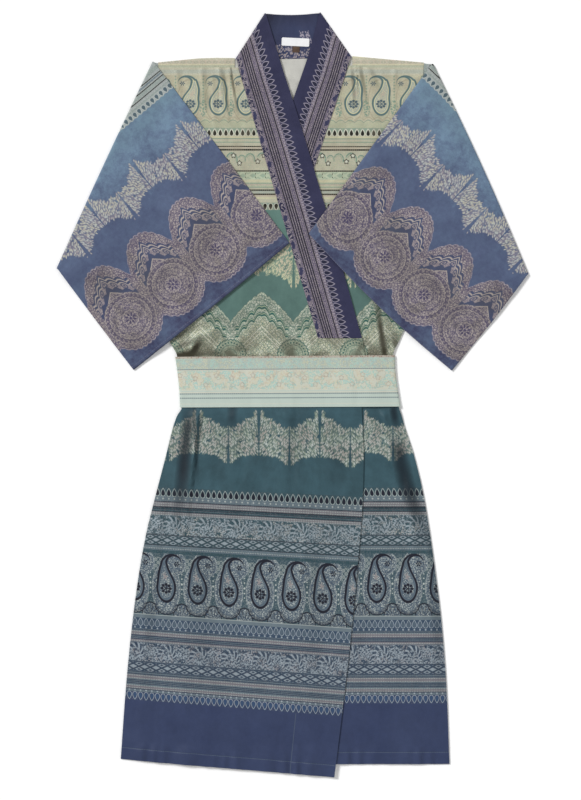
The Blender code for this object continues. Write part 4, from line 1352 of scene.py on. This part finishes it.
def lower_border_print(paint, c, s, t):
    paint.colour = paint.ramp(
        (-518, c.navy), (-503.5, c.slate), (-499.5, c.ash), (-493.5, c.slate), (-484, c.slate),
        (-481.5, c.ash), (-475, c.slate), (-468.5, c.deep_blue), (-453.5, c.slate), (-419.5, c.ash),
        (-414, c.slate), (-409.5, c.steel), (-408, c.ash), (-401.5, c.slate), (-397, c.steel),
        (-378, c.steel),
    )
    dark, ground, line = (
        paint.mix(0.3, c.steel, c.night), paint.mix(0.4, c.steel, c.night), paint.mix(0.3, c.frost, c.slate)
    )
    foliage(paint, s + 9, low=-451, high=-420, shades=(c.night, dark, c.slate, c.frost, c.blush))
    lattice(paint, line, ground, low=-468, high=-453.5, period=19.4, tall=9.4)
    dots(paint, c.frost, (-394.6, -500.5), radius=1.4, period=9.6)
    levels = (-401.5, -405.5, -417.3, -476, -480.5, -493, -497)
    dots(paint, c.shell, levels, radius=0.8, period=2.9)
    levels = (-398.4, -408.6, -411.4, -414.2, -452.4, -469.6, -473.2, -484, -486.6, -489.4, -498.6)
    cords(paint, [(level, 0.8) for level in levels], paint.mix(0.5, c.deep_blue, c.night))
    paint.stamp(0.25, lace(paint, c.steel, c.slate, c.blush))
    heart = paint.mix(0.45, c.steel, c.slate)
    drop_row(paint, c.frost, c.steel, heart, base=-392, height=14, period=9.6, thin=0.8)
    drop_row(paint, c.frost, c.navy, c.mid_blue, base=-503.5, height=-14, period=9.6, thin=0.75)


def hem_print(paint, c, s, t):
    """Plain, with a stitched hem. Gives the relief of the turned edge and its gathers."""
    paint.colour = paint.mix(paint.noise(60, 3), c.navy, c.navy_light)
    paint.stamp(t.line(-600, 0.45, 0.2) * abs(s.repeat(4)).below(1.4, 0.2) * 0.5, c.slate)
    paint.stamp((s - 5 - (t + 517) * 0.1).line(0, 0.35, 0.3) * 0.6, c.slate)
    relief = 0.0006 * t.below(-600, 2.5) - 0.0008 * t.line(-600, 0.8, 0.8)
    gathers = (s * (math.tau / 31) + 2.6 * s.sine(math.tau / 117)).math("SINE")
    return relief + 0.0018 * gathers * t.share(-588, -606)


# Prints of the other cloths


def collar_print(paint, c, s, t):
    knots = netting(paint, c.plum, paint.mix(0.25, c.mauve, c.blush), c.dove, 3.4)
    navy = paint.mix(paint.noise(30, 4), c.indigo, c.night_blue)
    paint.colour = paint.mix(t.above(31.5, 0.6), navy, knots)
    for level, half in ((38.2, 0.9), (47.4, 1), (51.2, 0.9), (55, 0.9), (58.8, 1)):
        paint.stamp(t.line(level, half), c.night)
    dots(paint, c.plum, (41.2, 44.2, 61.2), radius=0.8, period=2.8)
    x, y = s.repeat(47), t - 67
    strip, rough = t.above(62.5, 0.4), paint.noise(5) - 0.5
    spray = (oval(x, y - 0.14 * x, 15, 5.4) + 2.4 * rough).below(1.1, 0.15)
    paint.stamp(strip * spray, c.night_blue)
    paint.stamp(strip * spray * paint.scroll(6, 0.06) * 0.9, c.dove)
    x = (s - 23.5).repeat(47)
    twig = (oval(x, y + 0.2 * x, 8, 3.6) + 2.4 * rough).below(0.8, 0.15)
    paint.stamp(strip * twig, c.indigo)
    dots(paint, c.lilac, [33.8], radius=1.2, period=4.8)
    heart = paint.mix(0.5, c.night_blue, c.night)
    drop_row(paint, c.lilac, c.night_blue, heart, base=31.5, height=-13.5, period=9.6, thin=1.1)


def facing_print(paint, c, s, t):
    """The collar's inside: plain, with leaf sprays at the back of the neck."""
    paint.colour = paint.mix(paint.noise(40, 3), c.indigo, c.navy_light)
    # Painted shade: darker towards the right neck fold and towards the band's inner edge
    paint.stamp(s.share(600, 550) * 0.55, c.night)
    paint.stamp(t.share(22, 2) * 0.4, c.night)
    x = abs(s - NECK_MIDDLE)
    distance, shade, (u0, v0) = paint.cells(2.3, paint.place(x * 0.9 - t * 0.5, (t + x * 0.5) * 0.5))
    t0 = (v0 / 0.5 - 0.5 / 0.9 * u0) / (1 + 0.25 / 0.9)
    crest = 52 - 6 * s.sine(math.tau / 58)
    row = (t0 - crest).above(0, 0.8) * distance.below(1, 0.3) * shade.above(0.25, 0.1)
    paint.stamp(row, paint.mix(shade, c.lilac, c.blush))
    paint.stamp(t0.line(37, 10, 0.5) * x.line(5, 3.8, 0.5) * distance.below(1.05, 0.3), c.lilac)


def sleeve_print(paint, c, s, t):
    """From the cuff up: lace rosettes under a wave, a garland on a cloudy field, drops and grey stripes."""
    cloud, fine = paint.noise(50, 5, 0.65), paint.noise(7, 5, 0.75)
    field = paint.mix(t.share(10, 90), c.indigo, c.denim)
    field = paint.mix((0.6 * cloud + 0.4 * fine).share(0.38, 0.66) * 0.8, field, c.ocean)
    pale = (t / 90 + 1.1 * (cloud - 0.5) + 0.9 * (fine - 0.5)).share(2.55, 3.35)
    light = paint.mix(paint.noise(20, 5, 0.75).share(0.42, 0.62) * 0.6, c.sky, c.ocean)
    paint.colour = paint.mix(pale, field, paint.mix(t.share(290, 330) * 0.3 * cloud, light, c.sage))
    garland(
        paint, c.dove, c.shell, c.cream, first=19, period=103.4,
        upper=250, lower=224, peak=34, tip=28, steep=(2.6, 2.6),
    )

    period = 92
    x = (s - 14).repeat(period)
    share, bump = abs(x) / (period / 2), 2.4 * s.lobes(9.2)
    tint = paint.mix(paint.noise(35, 3).share(0.35, 0.65), c.mauve, c.dove)
    warm_lace = netting(paint, c.plum, tint, c.petal, 4.4)
    depth = 176 + bump - 48 * share ** 2.4 - t
    height = t - (20 - bump + 24 * share ** 2.6)
    band = depth.above(0, 0.6) * height.above(0, 0.6)
    edge = depth.smaller(height)
    paint.stamp(band, warm_lace)
    paint.stamp(band * edge.line(0.9, 0.7, 0.4) * 0.7, c.lilac)
    paint.stamp(band * edge.line(3.6, 0.7, 0.4) * 0.7, c.plum)
    leaf = oval((s + t * 0.4).repeat(9), depth - 12, 2.2, 5)
    paint.stamp(band * leaf.line(1, 0.45, 0.3) * 0.6, c.plum)

    ribbon = abs(x).below(38, 0.5)
    corner = 158 - 0.9 * abs(x) - t
    wave = corner + 5 * abs((x * (math.pi / 13)).math("COSINE"))
    blue = paint.mix(0.5, field, c.indigo)
    paint.stamp(ribbon * wave.line(13, 14, 0.5) * 0.5, c.dove)
    for level, half, shade in ((0, 2, blue), (3.9, 1, c.petal), (7.2, 1.9, blue), (10.4, 0.7, c.petal)):
        paint.stamp(ribbon * wave.line(level, half, 0.4), shade)
    curl = oval(x.repeat(13), corner - 12.5, 1, 1.3).root()
    paint.stamp(ribbon * curl.line(3.6, 0.7, 0.4), blue)
    paint.stamp(ribbon * curl.below(1.3, 0.4), blue)
    paint.stamp(ribbon * wave.above(22.5, 0.4) * corner.below(29, 0.4), blue)
    paint.stamp(ribbon * corner.line(30.4, 0.8, 0.4), c.petal)

    y = t - 72
    far, turn = polar(x, y)
    disc = far.below(45, 0.6)
    paint.stamp(disc, warm_lace)
    paint.stamp(turn.sine(34).above(0, 0.5) * far.line(40, 2.6, 0.5) * 0.7, c.plum)
    for radius, petals, half in ((44.5, 34, 0.8), (36.5, 30, 0.8), (27, 20, 1), (14.5, 12, 0.9)):
        rim = far + 1.7 * abs(turn.sine(petals / 2))
        paint.stamp(disc * (rim - 2.2).line(radius, half, 0.4) * 0.75, c.plum)
        paint.stamp(disc * rim.line(radius, 0.6, 0.4) * 0.6, c.petal)
    inner = far.line(29, 4.6, 0.6).larger(far.line(18.5, 3.2, 0.6))
    paint.stamp(inner * paint.scroll(9, 0.06) * 0.7, c.plum)
    paint.stamp(inner * paint.scroll(5, 0.04) * 0.5, c.petal)
    paint.stamp(rosette(x, y, petals=8, reach=7, length=3.2, width=1.6), c.plum)
    dusk = (paint.noise(60, 3).above(0.52, 0.12) * band).larger(disc * paint.noise(24, 3).above(0.56, 0.1))
    paint.stamp(dusk * 0.3, c.bark)

    below_stripes = paint.colour
    stripes = paint.ramp(
        (328, c.fog), (342, c.mist), (344.5, c.fog), (352, c.mist), (357, c.fog), (361.5, c.slate),
        (364, c.fog), (372, c.mist), (379, c.fog), (390, c.mist), (393, c.fog), (440, c.fog),
    )
    paint.colour = paint.mix(0.35, stripes, lace(paint, c.slate, c.fog, c.shell))
    cords(paint, [(level, 0.9) for level in (350, 358.5, 366.5, 386)], c.ink)
    drop_row(paint, c.shell, c.slate, c.iron, base=341, height=-12, period=9.6)
    scallop = t - 329.5 - 1.6 * s.lobes(9.6)
    paint.colour = paint.mix(scallop.above(0, 0.4), below_stripes, paint.colour)
    paint.stamp(t.below(2, 0.4) * 0.5, c.night)
    paint.stamp(t.line(5.5, 0.4, 0.2) * abs(s.repeat(4)).below(1.3, 0.2) * 0.3, c.lilac)


def belt_print(paint, c, s, t):
    paint.colour = paint.ramp(
        (-1, c.mint), (5, c.cream_light), (6, c.mint), (13.5, c.mint), (24, c.cream_light), (26, c.mint),
        (28, c.cream_light), (62, c.cream_light), (65, c.ice), (82.5, c.sand), (87, c.sand),
    )
    distance, shade, (_, t0) = paint.cells(2.9)
    warm, green = paint.noise(15), paint.noise(13, 3)
    spray, leaves, middle = t0.line(46, 16, 1.5), distance.below(1.3, 0.5), t.line(46, 16, 0.5)
    tint = paint.mix(shade, c.straw, c.apricot)
    paint.stamp(spray * leaves * warm.above(0.48, 0.05) * 0.45, tint)
    paint.stamp(spray * leaves * (green + 0.09 * t.share(54, 32)).above(0.53, 0.04) * 0.85, c.aqua)
    paint.stamp(middle * paint.scroll(13, 0.022) * 0.3, c.clay)
    paint.stamp(middle * paint.scroll(8) * 0.3, c.straw)
    for first, level in ((6, 54), (24, 38), (42, 49)):
        far, turn = polar((s + first).repeat(62), t - level)
        petals = far - 0.8 * turn.sine(5)
        paint.stamp(petals.below(3.2, 0.4) * 0.5, c.cream_light)
        paint.stamp(petals.line(3.3, 0.6, 0.4) * 0.5, c.clay)
    band = t0.line(73.5, 8.5, 0.8)
    paint.stamp(band * 0.6, netting(paint, c.mist, c.ice, c.cream_light, 3.6))
    paint.stamp(band * leaves * shade.above(0.5, 0.1) * 0.6, c.straw)
    paint.stamp(band * distance.below(1.2, 0.5) * green.above(0.5, 0.05) * 0.7, c.aqua)
    cords(paint, [(64, 0.6)], c.slate)
    for level in (15.6, 22.8):
        paint.stamp(t.line(level, 0.9, 0.3) * abs(s.repeat(3.4)).below(1.2, 0.3), c.slate)
    paint.stamp(t.above(83, 0.4) * distance.below(1, 0.4) * shade.above(0.4, 0.1), c.clay)


def printed(name, draw, c, mottle, band=None):
    """A material with the print that draw makes. A print may give a relief too."""
    paint = Paint(name)
    relief = draw(paint, c, paint.s, paint.t)
    if band:
        # Painted shade along the creases that cross this band of the body
        paint.crease(band)
    return paint.finish(mottle, relief)


def plain_cloth(name, colour, darker, mottle=0.12, roughness=0.7):
    paint = Paint(name)
    paint.colour = paint.mix(paint.noise(20, 3), colour, darker)
    return paint.finish(mottle, roughness=roughness)


BODY_PRINTS = (
    shoulder_print, small_paisley_print, chest_border_print, chest_field_print, skirt_field_print,
    middle_border_print, large_paisley_print, lower_border_print, hem_print,
)

# Colours, each with what it dyes
SHADES = {
    "cream": ("B3B09B", "Ground of the chest print"),
    "cream_light": ("C4C6B8", "Ground of the belt's flowers"),
    "straw": ("C6C29F", "Yellowish stripes and leaves"),
    "rose": ("B7A898", "Rose stripes of the chest"),
    "sand": ("B0A99C", "Belt's edge and warm lace"),
    "pistachio": ("9FAC92", "Green stripes of the chest"),
    "pale": ("B2BDA4", "Pale green of the chest"),
    "sage": ("67877A", "Curls and lines of the chest"),
    "moss": ("84907F", "Lace of the chest and garlands"),
    "mist": ("9AA49C", "Grey-green strips"),
    "iron": ("4F6068", "Outlines of the small paisleys"),
    "bark": ("4A4638", "Dusky shadows in the chest print"),
    "bark_light": ("8D8471", "Brownish lines of the chest"),
    "jade": ("5E7C74", "Upper field of the chest"),
    "fern": ("49635F", "Lower field of the chest"),
    "teal": ("3D5A64", "Field below the belt"),
    "petrol": ("324A52", "Darker field of the skirt"),
    "steel": ("34465A", "Ground of the lower border"),
    "spruce": ("2F5C57", "Scallop lines of the chest"),
    "deep_blue": ("2B3D55", "Dark blue of the lower borders"),
    "mid_blue": ("364B68", "Drops of the lower borders"),
    "navy": ("303A58", "Hem"),
    "navy_light": ("38425F", "Lighter clouds in the hem"),
    "ocean": ("596883", "Cloudy spots in the dark blue cloth"),
    "denim": ("4A5470", "Blue field of the sleeves"),
    "sky": ("6C849A", "Pale field of the sleeves"),
    "indigo": ("363753", "Collar's edge and cuffs"),
    "night_blue": ("2A2B45", "Darkest blue of the collar"),
    "night": ("1E202B", "Outlines and fine dark lines"),
    "ink": ("20221C", "Black lines and drops of the chest"),
    "slate": ("65727A", "Grey stripes"),
    "ash": ("797479", "Rose-grey stripes of the skirt"),
    "shell": ("AEB5B1", "Light outlines and leaves"),
    "frost": ("A3ADB4", "Light outlines and leaves of the lower borders"),
    "white": ("CFD0BF", "Lightest outlines"),
    "blush": ("9B8F8C", "Warm knots in the lace"),
    "mauve": ("79707A", "Lace of the sleeves"),
    "plum": ("4B4560", "Ground of the collar's border"),
    "lilac": ("97919F", "Outlines on the collar"),
    "dove": ("958C91", "Light lace of the sleeves"),
    "petal": ("AAA19B", "Lightest threads of the sleeves' lace"),
    "fog": ("A9AEAA", "Ground of the sleeves' stripes"),
    "mint": ("B6C3BA", "Lower edge of the belt"),
    "ice": ("A9B6AE", "Upper border of the belt"),
    "aqua": ("9BC2BC", "Blue leaves of the belt"),
    "apricot": ("BE9A82", "Flowers of the belt"),
    "clay": ("93796E", "Specks on the belt's edge"),
    "lining": ("C9C8C1", "Reverse of the body cloth"),
    "lining_shade": ("B6B5AF", "Darker threads of the reverse"),
    "sleeve_reverse": ("8F939C", "Reverse of the sleeve cloth"),
    "label": ("F1F1F2", "Label tape"),
    "label_shade": ("E4E4E6", "Darker threads of the label tape"),
    "tab": ("3A2E2A", "Size tab"),
    "tab_shade": ("6A5444", "Lighter threads of the size tab"),
    "floor": ("FBFBFB", "Floor"),
}


class RobeColours(bpy.types.PropertyGroup):
    """Colours of the prints and plain cloths."""

    __annotations__ = {
        name: bpy.props.FloatVectorProperty(
            name=name.replace("_", " ").capitalize(), description=words, default=linear(code),
            subtype="COLOR", min=0, max=1,
        )
        for name, (code, words) in SHADES.items()
    }


def size_property(name, words, default, **limits):
    """A length that a user may change, with its default in millimetres."""
    length = {"unit": "LENGTH", "default": default * MM}
    return bpy.props.FloatProperty(name=name, description=words, **length, **limits)


class RobeSizes(bpy.types.PropertyGroup):
    """Sizes of the cloths and of their mesh."""

    cell: size_property("Cell", "Spacing of the mesh on each cloth", CELL, min=0.003, max=0.02)
    wall: size_property("Cloth", "Thickness of the body's and the sleeves' cloth", WALL)
    band_wall: size_property("Collar band", "Thickness of the doubled collar band", BAND_WALL)
    belt_wall: size_property("Belt", "Thickness of the doubled belt", BELT_WALL)
    label_wall: size_property("Label", "Thickness of the label and the size tab", LABEL_WALL)


class Colours:
    """The scene's colours as plain tuples."""

    def __init__(self, context):
        for name in SHADES:
            setattr(self, name, tuple(getattr(context.scene.robe_colours, name)))


def band_at(low, high):
    """The number of the print band between two heights."""
    middle = (low + high) / 2
    return next(k for k, band in enumerate(PRINT_BANDS) if band.bottom <= middle <= band.top)


class LayBody(bpy.types.Operator):
    """Lays the back, both fronts and their overlap panels"""

    bl_idname = "robe.lay_body"
    bl_label = "Back and fronts"

    def execute(self, context):
        sizes, c = context.scene.robe_sizes, Colours(context)
        cell, wall = sizes.cell / MM, sizes.wall / MM
        draws = zip(PRINT_BANDS, BODY_PRINTS)
        prints = [printed(band.name, draw, c, band.mottle, band) for band, draw in draws]
        reverse = plain_cloth("Body cloth reverse", c.lining, c.lining_shade)
        rows, keep = back_rows(cell)
        back = lay("back_cloth", rows, wall, prints, reverse, flip=True, keep=keep, band_of=band_at)
        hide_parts("back")
        pieces = (
            ("left_overlap", left_overlap_rows(cell), (0.076, 0.72), ["back_cloth"], None),
            ("left_front", left_front_rows(cell), (0.33, 1.19), ["back_cloth"], 0.30),
            ("right_front", right_front_rows(cell), (0.34, 1.19), ["back_cloth", "left_front_cloth"], 0.31),
            ("right_overlap", right_overlap_rows(cell), (0.078, 0.72), ["left_front_cloth"], None),
        )
        for node, rows, flat, under, area in pieces:
            cloth = lay(node + "_cloth", rows, wall, prints, reverse, band_of=band_at)
            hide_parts(node)
        return {"FINISHED"}


class LayCollar(bpy.types.Operator):
    """Lays the collar band down both fronts and round the back neck"""

    bl_idname = "robe.lay_collar"
    bl_label = "Collar band"

    def execute(self, context):
        sizes, c = context.scene.robe_sizes, Colours(context)
        rows = collar_rows(sizes.cell / MM)
        outside = printed("Collar band print", collar_print, c, mottle=0.3)
        inside = printed("Collar facing print", facing_print, c, mottle=0.3)
        band = lay("collar_cloth", rows, sizes.band_wall / MM, [outside], inside)
        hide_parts("collar_band")
        return {"FINISHED"}


class LaySleeves(bpy.types.Operator):
    """Lays both sleeves, folded forward over the fronts"""

    bl_idname = "robe.lay_sleeves"
    bl_label = "Sleeves"

    def execute(self, context):
        sizes, c = context.scene.robe_sizes, Colours(context)
        cloth = printed("Sleeve print", sleeve_print, c, mottle=0.2)
        reverse = plain_cloth("Sleeve cloth reverse", c.sleeve_reverse, c.denim)
        for sleeve in SLEEVES:
            rows = sleeve_rows(sleeve, sizes.cell / MM)
            wall, flip = sizes.wall / MM, sleeve.side > 0
            tube = lay(sleeve.name + "_cloth", rows, wall, [cloth], reverse, flip=flip, closed=True)
            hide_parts(sleeve.name)
        return {"FINISHED"}


class LayBelt(bpy.types.Operator):
    """Lays the sash round the waist"""

    bl_idname = "robe.lay_belt"
    bl_label = "Belt"

    def execute(self, context):
        sizes, c = context.scene.robe_sizes, Colours(context)
        outside = printed("Belt print", belt_print, c, mottle=0.06)
        inside = plain_cloth("Belt reverse", c.cream_light, c.mint)
        rows = belt_rows(sizes.cell / MM)
        sash = lay("belt_cloth", rows, sizes.belt_wall / MM, [outside], inside, flip=True, closed=True)
        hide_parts("belt")
        return {"FINISHED"}


class SewLabel(bpy.types.Operator):
    """Sews the bare label and the size tab to the inside of the back neck"""

    bl_idname = "robe.sew_label"
    bl_label = "Label and size tab"

    def execute(self, context):
        sizes, c = context.scene.robe_sizes, Colours(context)
        patches = (
            ("neck_label", LABEL_AT, LABEL_SIZE, LABEL_CORNER, c.label, c.label_shade, "label_tape"),
            ("size_tab", TAB_AT, TAB_SIZE, TAB_CORNER, c.tab, c.tab_shade, "tab_tape"),
        )
        for node, at, size, corner, colour, darker, slot in patches:
            name = node.replace("_", " ").capitalize() + " tape"
            tape = plain_cloth(name, colour, darker, mottle=0.05, roughness=0.5)
            wall = sizes.label_wall / MM * LABEL_SHARE
            patch = lay(node + "_tape", patch_rows(at, size, corner), wall, [tape], tape)
            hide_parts(node)
            size[0] * MM
            size[1] * MM
        return {"FINISHED"}


class SetStage(bpy.types.Operator):
    """Puts down the pale floor, the soft lights and the camera straight above"""

    bl_idname = "robe.set_stage"
    bl_label = "Floor, lights and camera"

    def execute(self, context):
        c = Colours(context)
        bpy.ops.object.select_all(action="DESELECT")
        bpy.ops.mesh.primitive_plane_add(size=FLOOR_SIZE)
        floor = context.object
        floor.name = "Floor"
        material = bpy.data.materials.new("Pale floor")
        material.use_nodes = True
        shader = material.node_tree.nodes["Principled BSDF"]
        shader.inputs["Base Color"].default_value = (*c.floor, 1)
        shader.inputs["Roughness"].default_value = FLOOR_ROUGHNESS
        shader.inputs["Specular IOR Level"].default_value = 0
        floor.data.materials.append(material)
        world = bpy.data.worlds.new("Soft studio")
        world.use_nodes = True
        sky = world.node_tree.nodes["Background"]
        sky.inputs["Color"].default_value = (1, 1, 1, 1)
        sky.inputs["Strength"].default_value = SKY_STRENGTH
        context.scene.world = world
        context.scene.view_settings.view_transform = "Standard"
        for sun in SUNS:
            bpy.ops.object.light_add(type="SUN", location=sun.place)
            light = context.object
            light.name = sun.name
            light.data.angle = math.radians(sun.angle)
            light.data.energy = sun.power
            light.rotation_euler = light.location.to_track_quat("Z", "Y").to_euler()
        above = VIEW_LEVEL + VIEW_HEIGHT * LENS / SENSOR
        bpy.ops.object.camera_add(location=(*VIEW_CENTRE, above), rotation=(0, 0, 0))
        camera = context.object
        camera.name = "Camera straight above"
        camera.data.lens = LENS
        camera.data.sensor_width = SENSOR
        camera.data.clip_end = VIEW_END
        context.scene.camera = camera
        return {"FINISHED"}


class RobePanel(bpy.types.Panel):
    """Steps, sizes and colours of the robe"""

    bl_idname = "VIEW3D_PT_robe"
    bl_label = "Kimono robe"
    bl_space_type = "VIEW_3D"
    bl_region_type = "UI"
    bl_category = "Robe"

    def draw(self, context):
        for operator in OPERATORS:
            self.layout.operator(operator.bl_idname)
        for group in (context.scene.robe_sizes, context.scene.robe_colours):
            column = self.layout.column(align=True)
            for name in group.bl_rna.properties.keys():
                if name not in ("rna_type", "name"):
                    column.prop(group, name)


OPERATORS = (SetStage, LayBody, LayCollar, LaySleeves, LayBelt, SewLabel)
CLASSES = (RobeColours, RobeSizes, *OPERATORS, RobePanel)


def register():
    for cls in CLASSES:
        bpy.utils.register_class(cls)
    bpy.types.Scene.robe_sizes = bpy.props.PointerProperty(type=RobeSizes)
    bpy.types.Scene.robe_colours = bpy.props.PointerProperty(type=RobeColours)


def unregister():
    del bpy.types.Scene.robe_colours
    del bpy.types.Scene.robe_sizes
    for cls in reversed(CLASSES):
        bpy.utils.unregister_class(cls)


def main():
    register()
    bpy.ops.robe.set_stage()
    bpy.ops.robe.lay_body()
    bpy.ops.robe.lay_collar()
    bpy.ops.robe.lay_sleeves()
    bpy.ops.robe.lay_belt()
    bpy.ops.robe.sew_label()


if __name__ == "__main__":
    main()
